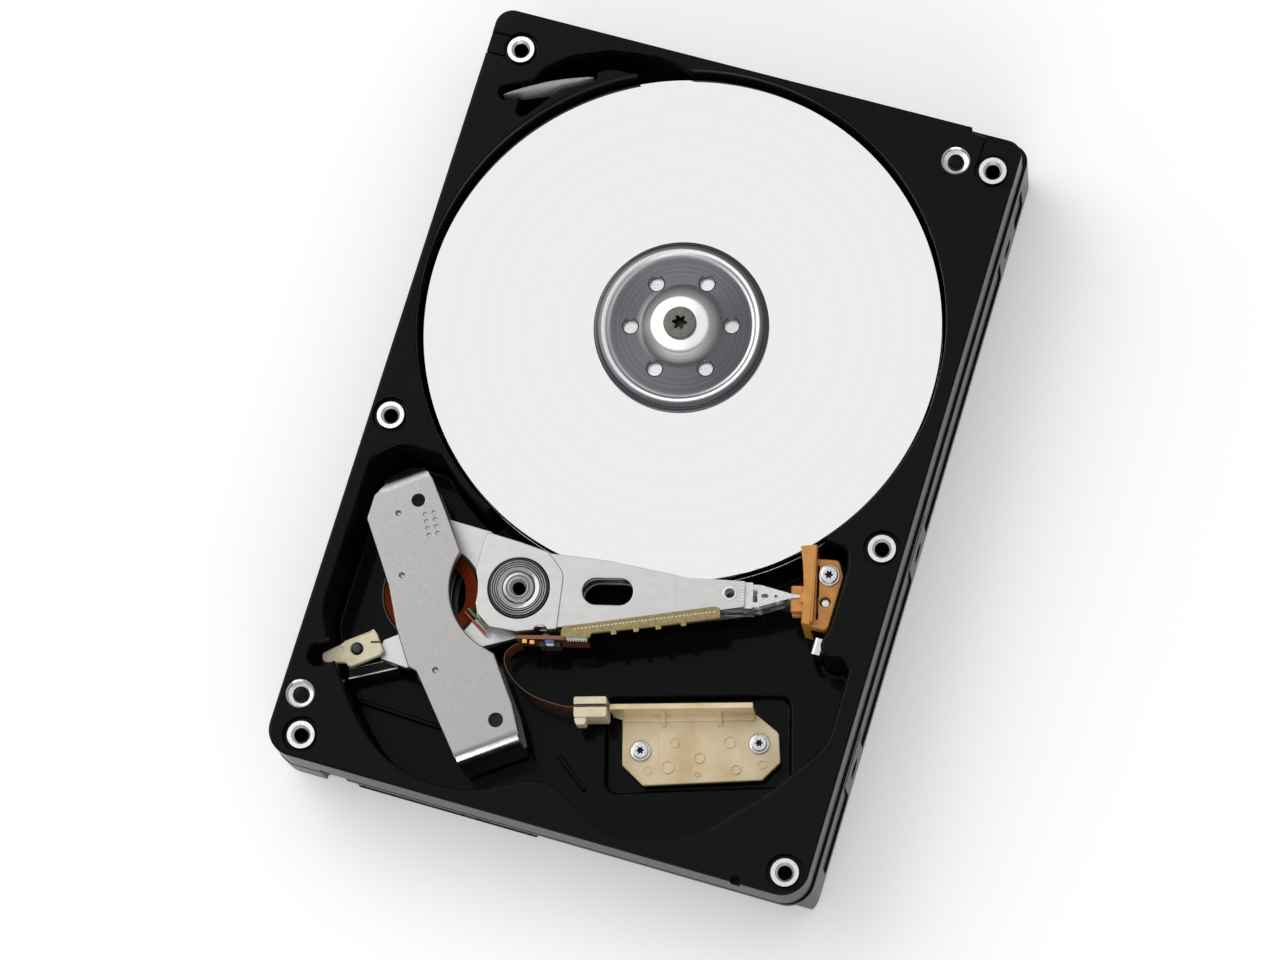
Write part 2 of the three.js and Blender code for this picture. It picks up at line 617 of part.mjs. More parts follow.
function latch() {
  const body = outline([
    [-45.6, -54.9, 0.9], [-46.4, -53.2, 0.9], [-43.5, -50.8, 0.4], [-42.8, -49.9], [-39, -47, 0.4],
    [-38.5, -46.4], [-37.6, -47.1, 0.3], [-35.5, -49.8, 0.4], [-36, -50.8, 0.4], [-40.6, -54.4, 0.5],
    [-41.6, -53.8],
  ], 2);
  const slit = plate(capsule([-38.9, -48.5], [-36.9, -47.1], 0.15, 2), LATCH_BOTTOM - 1, LATCH_TOP + 1);
  return cut(plate(body, LATCH_BOTTOM, LATCH_TOP), disc(LATCH_POST, 1.2, 15, 25, 10), slit);
}

const latchPost = () => turned([
  [0, BASIN_FLOOR + FIT], [1.7, BASIN_FLOOR + FIT], [1.7, LATCH_BOTTOM - 0.2], [0.85, LATCH_BOTTOM - 0.2],
  [0.85, LATCH_TOP + 0.6], [0, LATCH_TOP + 0.6]], 10, LATCH_POST);

// ---------------------------------------------------------------- ramp

const SHELF_LEVELS = [[16.75, 18.65], [20.65, 22.55]];
const RAMP_SCREW = [38.3, -15.1];
const RAMP_DOWEL = [38.9, -19.9];

/** Comb whose shelves carry the lift tabs, with a foot that is screwed to the casting. */
function loadRamp() {
  const bottom = BASIN_FLOOR + 0.2;
  const comb = outline([
    ...arc([0, 0], 51.3, -5.6, 10.2, 5), [53.4, 9.4], [53.1, 3], [52.6, -5.4]]);
  const foot = outline([
    [52.4, 7.3], [57.4, 7, 1], [58.2, 4, 1], [55.7, -6, 0.8], [52, -5.1]]);
  const shelves = SHELF_LEVELS.map(([low, high]) =>
    plate(outline([[49, -2.7], [51.6, -2.7], [51.6, 2], [49, 2]]), low, high));
  const slit = block(53.2, -4, 17, 53.6, 5.2, 30);
  const body = cut(join(plate(comb, bottom, 23.8), plate(foot, bottom, 22), ...shelves), slit);
  const platterNotches = SHELF_LEVELS.map(([low, high]) =>
    disc(SPINDLE, PLATTER_R + 0.7, low - 0.1, high + 0.1, 60));
  const screwHole = disc(RAMP_SCREW, 1.2, 14, 25, 12);
  const dowelHole = disc(RAMP_DOWEL, 1, 18, 25, 12);
  return cut(onActuator(body), ...platterNotches, screwHole, dowelHole);
}

const rampScrew = () => screw(RAMP_SCREW, 1.8, 22.1, 23.1, 1, 15);

/** Bent spring tab that holds the foot of the ramp. */
function rampTab() {
  return join(
    block(38.7, -29.4, BASIN_FLOOR + FIT, 39.3, -26.4, 21),
    block(38.7, -29.4, 20.4, 40.5, -26.4, 21));
}

// ---------------------------------------------------------------- flexible cable

const BRACKET_SCREWS = [[5.4, -7.7], [26.9, -6.6]];

/** Moulded bracket: floor plate with a standing lip. */
function flexBracket() {
  const floor = outline([
    [0.3, -1.2], [2, -1.8], [2, -10.2, 0.8], [5.8, -14, 0.8], [27.4, -13.2, 0.8], [30.7, -10, 0.8],
    [30.4, -4.6, 1], [26.4, -1.2]]);
  const lip = block(0.3, -1.2, BRACKET_Z, 26.2, -0.2, 17.6);
  const holes = BRACKET_SCREWS.map(([u, v]) => disc([u, v], 1.15, 5, 20, 12));
  return onBracket(cut(join(plate(floor, BRACKET_Z, BRACKET_Z + 1.4), lip), ...holes));
}

function bracketScrew(index) {
  const at = framePoint(BRACKET_SCREWS[index], BRACKET_ANGLE, BRACKET_AT);
  return screw(at, 1.6, BRACKET_Z + 1.5, BRACKET_Z + 2.4, 1, BRACKET_Z - 1);
}

/** Two-jaw clip that grips the cable beside the bracket, slotted for it. */
function flexClamp() {
  const body = block(-6, -2.9, 12.4, 0, 0.9, 19.4);
  return onBracket(cut(body, block(-7, -1.2, 13.2, 1, -0.3, 20)));
}

/** Route of the cable from the actuator block to the clip, as a bent ribbon on edge. */
function flexCable() {
  const onBlock = [[0.3, -9.6], [-1.6, -10], [-2.6, -11.5], [-2, -14], [0.3, -16.9], [3.6, -19]];
  const route = onBlock.map((point) => framePoint(point, PARK_ANGLE, PIVOT));
  const inClamp = [[-7.4, -0.9], [-5, -0.75], [-0.3, -0.75]];
  route.push(...inClamp.map((point) => framePoint(point, BRACKET_ANGLE, BRACKET_AT)));
  const path = new THREE.CatmullRomCurve3(route.map(([x, y]) => new THREE.Vector3(x, y, 0)));
  const steps = 20;
  const half = 0.12;
  const sides = [1, -1].map((side) => {
    const edge = [];
    for (let i = 0; i <= steps; i++) {
      const p = path.getPointAt(i / steps);
      const t = path.getTangentAt(i / steps);
      edge.push([p.x - side * half * t.y, p.y + side * half * t.x]);
    }
    return edge;
  });
  return plate(outline([...sides[0], ...sides[1].reverse()]), 13.6, 19.2);
}

/** Board-to-board connector under the bracket, through the floor of the casting. */
const headConnector = () => onBracket(block(8.4, -6.2, BOARD_TOP + FIT, 23.6, -3, BRACKET_Z - FIT));

// ---------------------------------------------------------------- circuit board

function circuitBoard() {
  const x = HALF_WIDTH - RAIL_WIDTH - 0.4;
  const shape = outline([
    [-36.1, -71.4], [37.7, -71.4], [37.7, -65.7], [x, -65.7, 4], [x, -8, 3], [22, -8, 2], [14, 0, 2],
    [-14, 0, 2], [-22, -8, 2], [-x, -8, 3], [-x, -65.7, 4], [-36.1, -65.7]]);
  return cut(
    plate(shape, BOARD_BOTTOM, BOARD_TOP),
    ...BOARD_SCREWS.map((at) => disc(at, 1.4, 0, 4, 12)));
}

/** Pan-head screw driven up into the casting. */
function boardScrew(at) {
  const head = BOARD_BOTTOM - FIT;
  return turned([
    [0, head - 0.6], [2.4, head - 0.6], [2.4, head], [1, head], [1, 5.8], [0, 5.8]], 10, at);
}

/** Plug housing with two tongues, for data and power. */
function sataConnector() {
  const face = -HALF_LENGTH + END_RECESS - 0.6;
  const low = BOARD_TOP + FIT;
  const high = 7.1;
  const housing = block(-36, face, low, -1.6, -64.5, high);
  const bays = [[-35.2, -15.2], [-13.2, -2.4]].map(([x0, x1]) => {
    const bay = block(x0, face - 1, low + 0.9, x1, face + 4.5, high - 0.9);
    const tongue = block(x0 + 0.8, face - 2, low + 1.8, x1 - 0.8, face + 6, low + 3);
    return cut(bay, tongue);
  });
  return cut(housing, ...bays);
}

/** Low header with two rows of four pins. */
function jumperBlock() {
  const face = -HALF_LENGTH + END_RECESS + 0.6;
  const header = block(1.4, face + 2.6, BOARD_TOP + FIT, 11.6, -64.5, 7.1);
  const pins = [];
  for (let column = 0; column < 4; column++) {
    for (const z of [3.2, 5.4]) {
      const x = 2.4 + column * 2.54;
      pins.push(block(x, face - 0.4, z, x + 0.6, face + 3, z + 0.6));
    }
  }
  return join(header, ...pins);
}

const chip = (x, y, width, depth, height) => block(
  x - width / 2, y - depth / 2, BOARD_TOP + FIT, x + width / 2, y + depth / 2, BOARD_TOP + FIT + height);

/** Spring contacts between the board and the motor's winding. */
const motorContacts = () => block(-6.2, -1.6, BOARD_TOP + FIT, 4.8, -0.5, 6.2);

// ---------------------------------------------------------------- assembly

const FINISHES = {
  casting: [0x151516, 0.42, 0.3],
  platter: [0xe9e9ea, 0.05, 1.0],
  clamp: [0x9a9b9e, 0.25, 1.0],
  screw: [0xb0b1b4, 0.3, 1.0],
  steel: [0xb8b7b5, 0.35, 1.0],
  nickel: [0xb4b2af, 0.4, 1.0],
  machined: [0xd6d6d4, 0.35, 1.0],
  magnet: [0x8c8d90, 0.3, 1.0],
  copper: [0xb4511c, 0.35, 0.9],
  polyimide: [0x6b3312, 0.35, 0.0],
  traces: [0xb89a3e, 0.35, 0.1],
  black_plastic: [0x161617, 0.5, 0.0],
  ramp: [0xcf7f2d, 0.4, 0.0],
  ivory: [0xe6dcc0, 0.45, 0.0],
  bracket: [0xe8cf9f, 0.4, 0.0],
  felt: [0xa3a2a8, 0.95, 0.0],
  board: [0x1c4a2c, 0.45, 0.0],
  chip: [0x1c1c1d, 0.6, 0.0],
  rubber: [0x101011, 0.35, 0.0],
};

const drive = new THREE.Group();

/** Add one named piece to the drive. */
function add(name, piece, finish) {
  const { numProp, vertProperties, triVerts } = piece.getMesh();
  const geometry = new THREE.BufferGeometry();
  geometry.setAttribute('position', new THREE.BufferAttribute(new Float32Array(vertProperties), numProp));
  geometry.setIndex(new THREE.BufferAttribute(new Uint32Array(triVerts), 1));
  geometry.computeVertexNormals();
  const [color, roughness, metalness] = FINISHES[finish];
  const mesh = new THREE.Mesh(geometry, new THREE.MeshStandardMaterial({ color, roughness, metalness }));
  mesh.name = name;
  drive.add(mesh);
}

add('base_casting', baseCasting(), 'casting');
add('recirculation_filter', recirculationFilter(), 'felt');
for (const [name, at] of Object.entries(COVER_PINS)) {
  add(name, coverPin(at), 'rubber');
}

add('motor_base', motorBase(), 'machined');
add('wound_stator', woundStator(), 'copper');
add('rotor_magnet', rotorMagnet(), 'magnet');
add('spindle_shaft', spindleShaft(), 'steel');
add('spindle_hub', spindleHub(), 'machined');
add('platter_lower', platter(LOWER_PLATTER_TOP), 'platter');
add('platter_spacer', platterSpacer(), 'machined');
add('platter_upper', platter(PLATTER_TOP), 'platter');
add('disk_clamp', diskClamp(), 'clamp');
add('clamp_screw', clampScrew(), 'screw');

add('yoke_bottom', bottomYoke(), 'nickel');
add('magnet_bottom', magnet(YOKE_BASE + YOKE_T + FIT, 15.6), 'magnet');
add('magnet_top', magnet(COIL_TOP + 0.6, YOKE_TOP - YOKE_T - FIT), 'magnet');
add('yoke_top', topYoke(), 'nickel');
add('crash_stop', crashStop(), 'rubber');
add('pivot_shaft', pivotShaft(), 'steel');

add('actuator_carriage', actuatorCarriage(), 'machined');
add('pivot_sleeve', pivotSleeve(), 'steel');
add('voice_coil', voiceCoil(), 'copper');
add('coil_frame', coilFrame(), 'black_plastic');
add('suspension_1', suspension(ARM_LEVELS[0] + ARM_T, 1), 'steel');
add('suspension_2', suspension(ARM_LEVELS[1], -1), 'steel');
add('suspension_3', suspension(ARM_LEVELS[1] + ARM_T, 1), 'steel');
add('suspension_4', suspension(ARM_LEVELS[2], -1), 'steel');
add('actuator_flex', actuatorFlex(), 'polyimide');
add('preamp_chip', preampChip(), 'chip');
add('trace_tail', traceTail(), 'traces');

add('flex_cable', flexCable(), 'polyimide');
add('flex_bracket', flexBracket(), 'bracket');
add('flex_clamp', flexClamp(), 'ivory');
add('bracket_screw_left', bracketScrew(0), 'screw');
add('bracket_screw_right', bracketScrew(1), 'screw');
add('head_connector', headConnector(), 'black_plastic');

add('latch', latch(), 'ivory');
add('latch_post', latchPost(), 'steel');
add('load_ramp', loadRamp(), 'ramp');
add('ramp_screw', rampScrew(), 'screw');
add('ramp_tab', rampTab(), 'nickel');

add('circuit_board', circuitBoard(), 'board');
add('sata_connector', sataConnector(), 'black_plastic');
add('jumper_block', jumperBlock(), 'black_plastic');
add('controller_chip', chip(-14, -46, 14, 14, 1.4), 'chip');
add('memory_chip', chip(-14, -27, 10, 12, 1.1), 'chip');
add('motor_driver_chip', chip(20, -22, 9, 9, 1.2), 'chip');
add('motor_contacts', motorContacts(), 'black_plastic');
BOARD_SCREWS.forEach((at, index) => add(`board_screw_${index + 1}`, boardScrew(at), 'screw'));

export default drive;
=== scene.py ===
import json
import math
import random

import bpy
import numpy as np
from mathutils import Matrix, Vector, noise

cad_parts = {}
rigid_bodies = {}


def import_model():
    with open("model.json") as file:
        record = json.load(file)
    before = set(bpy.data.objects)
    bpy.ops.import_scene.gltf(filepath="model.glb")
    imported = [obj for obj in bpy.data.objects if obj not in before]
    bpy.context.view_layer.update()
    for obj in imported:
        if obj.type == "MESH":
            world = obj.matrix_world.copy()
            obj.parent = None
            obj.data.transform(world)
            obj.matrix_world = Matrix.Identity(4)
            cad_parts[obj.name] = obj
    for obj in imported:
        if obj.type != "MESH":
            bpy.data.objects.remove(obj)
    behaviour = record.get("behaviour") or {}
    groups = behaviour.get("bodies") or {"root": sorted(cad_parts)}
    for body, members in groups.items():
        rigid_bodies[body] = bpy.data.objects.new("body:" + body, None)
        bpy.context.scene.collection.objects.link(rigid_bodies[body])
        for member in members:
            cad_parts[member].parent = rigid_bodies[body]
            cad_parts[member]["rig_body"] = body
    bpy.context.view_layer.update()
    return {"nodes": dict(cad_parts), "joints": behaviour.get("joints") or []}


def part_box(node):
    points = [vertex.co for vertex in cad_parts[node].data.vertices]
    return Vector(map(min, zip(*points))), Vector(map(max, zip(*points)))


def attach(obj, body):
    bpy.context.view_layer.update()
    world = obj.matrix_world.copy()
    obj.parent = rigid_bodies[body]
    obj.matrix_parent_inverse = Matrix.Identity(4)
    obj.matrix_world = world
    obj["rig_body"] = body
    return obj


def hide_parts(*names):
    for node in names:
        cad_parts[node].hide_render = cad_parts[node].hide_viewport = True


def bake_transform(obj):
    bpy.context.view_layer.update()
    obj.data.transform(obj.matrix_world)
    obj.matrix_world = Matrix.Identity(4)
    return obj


# The looks of a 3.5-inch hard disk drive with its cover off. Shapes are written in millimetres
# and become metres when a piece is made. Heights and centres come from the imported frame.

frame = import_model()
MM = 0.001
random.seed(35)

# ---------------------------------------------------------------- driving values

CAMERA = dict(target=(0.27, -7.24, 22.0), distance=832.0, azimuth=38.05, elevation=74.9, roll=21.86,
              lens=129.335, sensor=36.0)


def low(node):
    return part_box(node)[0] / MM


def high(node):
    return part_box(node)[1] / MM


def heights(node):
    return low(node).z, high(node).z


def joint_centre(name):
    joint = next(j for j in frame["joints"] if j["name"] == name)
    return [value / MM for value in joint["pos_m"][:2]]


SPINDLE = joint_centre("spindle_spin")
PIVOT = joint_centre("actuator_swing")
LATCH_POST = joint_centre("latch_swing")
PARK_ANGLE = 14.2           # direction of the parked arms
BRACKET_AT = (5.9, -47.4)   # corner of the cable bracket's lip
BRACKET_ANGLE = 16.45
ON_ACTUATOR = dict(body="actuator", at=PIVOT, turn=PARK_ANGLE)
ON_BRACKET = dict(at=BRACKET_AT, turn=BRACKET_ANGLE)

HALF_WIDTH = high("base_casting").x
HALF_LENGTH = high("base_casting").y
HEIGHT = high("base_casting").z
PARTING_Z = 15.8
PARTING_GAP = 0.5
FLANGE_INSET = 0.4
FLANGE_END = HALF_LENGTH - 1.85
DISK_FLOOR = 12.5
BASIN_FLOOR = 10.5
POCKET_FLOOR = 8.3
UNDER_DECK = 6.5
RAIL_WIDTH = 5.8
END_BAND_Z = 14.1
LEFT_CORNER_Z = 9
RAIL_SETBACK = 2.6
CAVITY_R = 48.3
LIP_R = 49.5

COVER_BOSSES = [
    (-44.2, 64.5), (46.2, 64.5), (-46.5, -8.6), (46.4, -8.6), (-44.2, -69.3), (46.2, -69.3)]
COVER_PINS = {"cover_pin_rear": (39.2, 64.6), "cover_pin_front": (-46.6, -62.2)}
BOSS_R = 2.55
BOSS_GROOVE_R = 3.3
PIN_RING_R = 2.35
PIN_R = 1.4
SIDE_HOLES = [28.5, 70.1, 130.1]        # from the connector end
SIDE_HOLE_Z = 6.35
BASE_HOLES = [41.28, 85.73]             # from the connector end
BASE_HOLE_X = 47.62
BOARD_BAY = (-36.4, 38)                 # the board's bay at the connector end, in X
BOARD_BAY_DEPTH = 1.7
BOARD_SCREWS = [(-41, -60), (40.5, -60), (-40, -12), (40, -12), (4, -38)]

# ---------------------------------------------------------------- outlines, in millimetres


def polar(centre, radius, degrees):
    a = math.radians(degrees)
    return (centre[0] + radius * math.cos(a), centre[1] + radius * math.sin(a))


def arc(centre, radius, start, end, steps):
    return [polar(centre, radius, start + (end - start) * i / steps) for i in range(steps + 1)]


def circle(centre, radius, steps=64):
    return [polar(centre, radius, 360 * i / steps) for i in range(steps)]


def corner_arc(before, corner, after, steps):
    """The points of one corner (x, y, radius) rounded between its neighbours."""
    at = Vector(corner[:2])
    if len(corner) < 3 or corner[2] == 0:
        return [tuple(at)]
    u = (Vector(before[:2]) - at).normalized()
    v = (Vector(after[:2]) - at).normalized()
    half = u.angle(v) / 2
    radius = corner[2]
    start = at + u * radius / math.tan(half)
    end = at + v * radius / math.tan(half)
    centre = at + (u + v).normalized() * radius / math.sin(half)
    first = math.atan2(start.y - centre.y, start.x - centre.x)
    sweep = math.atan2(end.y - centre.y, end.x - centre.x) - first
    sweep = (sweep + math.pi) % (2 * math.pi) - math.pi
    angles = [first + sweep * i / steps for i in range(steps + 1)]
    return [(centre.x + radius * math.cos(a), centre.y + radius * math.sin(a)) for a in angles]


def rounded(corners, steps=6):
    """A closed outline from corners (x, y) or (x, y, radius)."""
    count = len(corners)
    points = []
    for i, corner in enumerate(corners):
        points += corner_arc(corners[i - 1], corner, corners[(i + 1) % count], steps)
    return points


def rectangle(x0, y0, x1, y1, radius=0.0, steps=6):
    return rounded([(x0, y0, radius), (x1, y0, radius), (x1, y1, radius), (x0, y1, radius)], steps)


def capsule(start, end, radius, steps=12):
    heading = math.degrees(math.atan2(end[1] - start[1], end[0] - start[0]))
    return (arc(end, radius, heading - 90, heading + 90, steps)
            + arc(start, radius, heading + 90, heading + 270, steps))


def sector(centre, inner, outer, start, end, steps):
    return arc(centre, inner, start, end, steps) + arc(centre, outer, end, start, steps)


def turned_points(points, degrees, at):
    c, s = math.cos(math.radians(degrees)), math.sin(math.radians(degrees))
    return [(at[0] + c * x - s * y, at[1] + s * x + c * y) for x, y in points]


def counterclockwise(points):
    p = np.array(points)
    q = np.roll(p, -1, axis=0)
    area = np.sum(p[:, 0] * q[:, 1] - q[:, 0] * p[:, 1])
    return p if area > 0 else p[::-1]


def grown(points, distance):
    """The outline moved outwards by a distance, corner by corner."""
    before = points - np.roll(points, 1, axis=0)
    after = np.roll(points, -1, axis=0) - points
    normals = []
    for edge in (before, after):
        length = np.maximum(np.linalg.norm(edge, axis=1, keepdims=True), 1e-9)
        normals.append(np.stack([edge[:, 1], -edge[:, 0]], axis=1) / length)
    total = normals[0] + normals[1]
    square = np.maximum(np.sum(total * total, axis=1, keepdims=True), 0.5)
    return points + distance * 2 * total / square


# ---------------------------------------------------------------- solids, as (points, faces)


def rings_to_solid(rings, close_rings=False):
    """A closed solid from rings of equal length: capped at its ends, or joined end to end."""
    count = len(rings[0])
    points = np.vstack(rings)
    faces = []
    last = len(rings) if close_rings else len(rings) - 1
    for i in range(last):
        a, b = i * count, ((i + 1) % len(rings)) * count
        for j in range(count):
            k = (j + 1) % count
            faces.append((a + j, a + k, b + k, b + j))
    if not close_rings:
        faces.append(tuple(range(count - 1, -1, -1)))
        faces.append(tuple(range(last * count, (last + 1) * count)))
    inside_out = signed_volume(points, faces) < 0
    return points, [face[::-1] for face in faces] if inside_out else faces


def signed_volume(points, faces):
    """Six times the volume; negative when the faces look inwards."""
    total = 0.0
    for face in faces:
        first = points[face[0]]
        for i in range(1, len(face) - 1):
            total += np.dot(first, np.cross(points[face[i]], points[face[i + 1]]))
    return total


def at_height(outline, z):
    return np.column_stack([outline, np.full(len(outline), z)])


def round_edge(z, radius, growth, up, steps=4):
    """(height, growth) pairs round an edge that ends at height z, growing inwards (-1) or outwards (1)."""
    pairs = []
    for i in range(steps + 1):
        a = math.radians(90 * i / steps)
        pairs.append((z - up * radius * (1 - math.sin(a)), growth * radius * (1 - math.cos(a))))
    return pairs


def prism(points, bottom, top, low_edge=0.0, high_edge=0.0, flare=0.0):
    """An upright solid with rounded lower and upper edges. A flare widens it, to cut a rounded rim."""
    outline = counterclockwise(points)
    layers = [(bottom, 0.0)] if low_edge == 0 else round_edge(bottom, low_edge, -1, -1)[::-1]
    if flare:
        layers += round_edge(top, flare, 1, 1)
        layers.append((top + 0.5, flare))
    elif high_edge:
        layers += round_edge(top, high_edge, -1, 1)
    else:
        layers.append((top, 0.0))
    return rings_to_solid([at_height(grown(outline, growth), z) for z, growth in layers])


def pocket(points, floor, fillet, flare, top=HEIGHT):
    """A cutter for a hollow that is open at the top face, with a filleted floor and a rounded rim."""
    return prism(points, floor, top, low_edge=fillet, flare=flare)


def block(x0, y0, z0, x1, y1, z1, edge=0.0, corner=0.0):
    return prism(rectangle(x0, y0, x1, y1, corner, 4), z0, z1, edge, edge)


def lathe(profile, segments=96, centre=(0, 0), corner_steps=4):
    """A profile of (r, z) or (r, z, rounding) corners turned about +Z."""
    outline = np.array(rounded(profile, corner_steps))
    rings = []
    for i in range(segments):
        a = 2 * math.pi * i / segments
        rings.append(np.column_stack([
            centre[0] + outline[:, 0] * math.cos(a), centre[1] + outline[:, 0] * math.sin(a), outline[:, 1]]))
    return rings_to_solid(rings, close_rings=True)


def band(points, section):
    """A closed loop that follows an outline, with a section of (growth, z) points."""
    outline = counterclockwise(points)
    return rings_to_solid([at_height(grown(outline, growth), z) for growth, z in section], close_rings=True)


def swept(path, section):
    """A bar along an open path of 3D points, with a section of (sideways, z) points."""
    path = np.array(path, float)
    ahead = np.gradient(path[:, :2], axis=0)
    ahead /= np.linalg.norm(ahead, axis=1, keepdims=True)
    rings = []
    for point, (dx, dy) in zip(path, ahead):
        rings.append(np.array([
            (point[0] - side * dy, point[1] + side * dx, point[2] + z) for side, z in section]))
    return rings_to_solid(rings)


def tube_along(path, radius, sides=10):
    """A round wire along an open path of 3D points."""
    path = np.array(path, float)
    ahead = np.gradient(path, axis=0)
    ahead /= np.linalg.norm(ahead, axis=1, keepdims=True)
    rings = []
    for point, tangent in zip(path, ahead):
        side = Vector(tangent).cross((0, 0, 1) if abs(tangent[2]) < 0.9 else (1, 0, 0)).normalized()
        over = Vector(tangent).cross(side)
        turns = [2 * math.pi * i / sides for i in range(sides)]
        rings.append(np.array([
            Vector(point) + radius * (math.cos(a) * side + math.sin(a) * over) for a in turns]))
    return rings_to_solid(rings)


def curve_through(points, steps):
    """A smooth curve through points of two or three numbers (Catmull-Rom)."""
    p = np.array(points, float)
    p = np.vstack([2 * p[0] - p[1], p, 2 * p[-1] - p[-2]])
    out = []
    for i in range(1, len(p) - 2):
        for step in range(steps):
            t = step / steps
            out.append(0.5 * (2 * p[i] + (p[i + 1] - p[i - 1]) * t
                              + (2 * p[i - 1] - 5 * p[i] + 4 * p[i + 1] - p[i + 2]) * t ** 2
                              + (3 * p[i] - p[i - 1] - 3 * p[i + 1] + p[i + 2]) * t ** 3))
    out.append(p[-2])
    return [tuple(float(v) for v in point) for point in out]


def merged(*solids):
    """Several solids that don't touch, as one."""
    points, faces, start = [], [], 0
    for solid_points, solid_faces in solids:
        points.append(solid_points)
        faces += [tuple(start + i for i in face) for face in solid_faces]
        start += len(solid_points)
    return np.vstack(points), faces


def moved(solid, at=(0, 0), turn=0.0):
    points = np.array(solid[0], float)
    points[:, :2] = turned_points(points[:, :2], turn, at)
    return points, solid[1]


def facing_x(solid):
    """A solid drawn in (y, z) and extruded along its third axis, turned to lie along X."""
    return solid[0][:, [2, 0, 1]], solid[1]


def facing_y(solid):
    """A solid drawn in (x, z) and extruded along its third axis, turned to lie along Y."""
    return solid[0][:, [0, 2, 1]], [face[::-1] for face in solid[1]]


def new_mesh(name, solid, scale=1.0):
    mesh = bpy.data.meshes.new(name)
    mesh.from_pydata((solid[0] * scale).tolist(), [], solid[1])
    mesh.validate()
    return mesh


def combine(solid, tools, operation):
    """Boolean work on closed solids, one tool after another."""
    for tool in tools:
        objects = []
        for part in (solid, tool):
            obj = bpy.data.objects.new("work", new_mesh("work", part))
            bpy.context.scene.collection.objects.link(obj)
            objects.append(obj)
        modifier = objects[0].modifiers.new("boolean", "BOOLEAN")
        modifier.object = objects[1]
        modifier.operation = operation
        modifier.solver = "MANIFOLD"
        evaluated = objects[0].evaluated_get(bpy.context.evaluated_depsgraph_get())
        mesh = evaluated.to_mesh()
        points = np.empty(len(mesh.vertices) * 3)
        mesh.vertices.foreach_get("co", points)
        faces = [tuple(polygon.vertices) for polygon in mesh.polygons]
        evaluated.to_mesh_clear()
        if not faces:
            raise RuntimeError("a boolean left nothing, so one of its solids isn't closed")
        solid = (points.reshape(-1, 3), faces)
        for obj in objects:
            bpy.data.meshes.remove(obj.data)
    return solid


def cut(solid, *tools):
    return combine(solid, tools, "DIFFERENCE")


def join(solid, *tools):
    return combine(solid, tools, "UNION")


# ---------------------------------------------------------------- materials


def add_node(tree, kind, links=(), **values):
    """A shader node with its settings and input values, linked from (input name, output socket) pairs."""
    made = tree.nodes.new(kind)
    for key, value in values.items():
        name = key.replace("_", " ")
        target = next((s for s in made.inputs if s.name.lower() == name.lower() and s.enabled), None)
        if target is not None and not hasattr(type(made), key):
            target.default_value = value
        else:
            setattr(made, key, value)
    for name, output in links:
        tree.links.new(next(s for s in made.inputs if s.name == name and s.enabled), output)
    return made


def surface_coordinates(tree, pattern, stretch):
    """Object coordinates; for a turned surface they run with the distance from the axis."""
    source = add_node(tree, "ShaderNodeTexCoord").outputs["Object"]
    if pattern == "turned":
        flat = add_node(tree, "ShaderNodeVectorMath", [("Vector", source)], operation="MULTIPLY")
        flat.inputs[1].default_value = (1, 1, 0)
        length = add_node(tree, "ShaderNodeVectorMath", [("Vector", flat.outputs[0])], operation="LENGTH")
        split = add_node(tree, "ShaderNodeSeparateXYZ", [("Vector", source)])
        source = add_node(tree, "ShaderNodeCombineXYZ", [
            ("X", length.outputs["Value"]), ("Z", split.outputs["Z"])]).outputs[0]
    mapping = add_node(tree, "ShaderNodeMapping", [("Vector", source)])
    mapping.inputs["Scale"].default_value = stretch
    return mapping.outputs[0]


def remapped(tree, value, low_out, high_out, low_in=0.35, high_in=0.65):
    made = add_node(tree, "ShaderNodeMapRange", [("Value", value)])
    limits = {"From Min": low_in, "From Max": high_in, "To Min": low_out, "To Max": high_out}
    for name, number in limits.items():
        made.inputs[name].default_value = number
    return made.outputs[0]


def mixed(tree, factor, first, second):
    """A colour mix; first and second are colours or colour sockets."""
    made = tree.nodes.new("ShaderNodeMix")
    made.data_type = "RGBA"
    tree.links.new(made.inputs[0], factor)
    for socket, value in ((made.inputs[6], first), (made.inputs[7], second)):
        if isinstance(value, bpy.types.NodeSocket):
            tree.links.new(socket, value)
        else:
            socket.default_value = (*value, 1)
    return made.outputs[2]


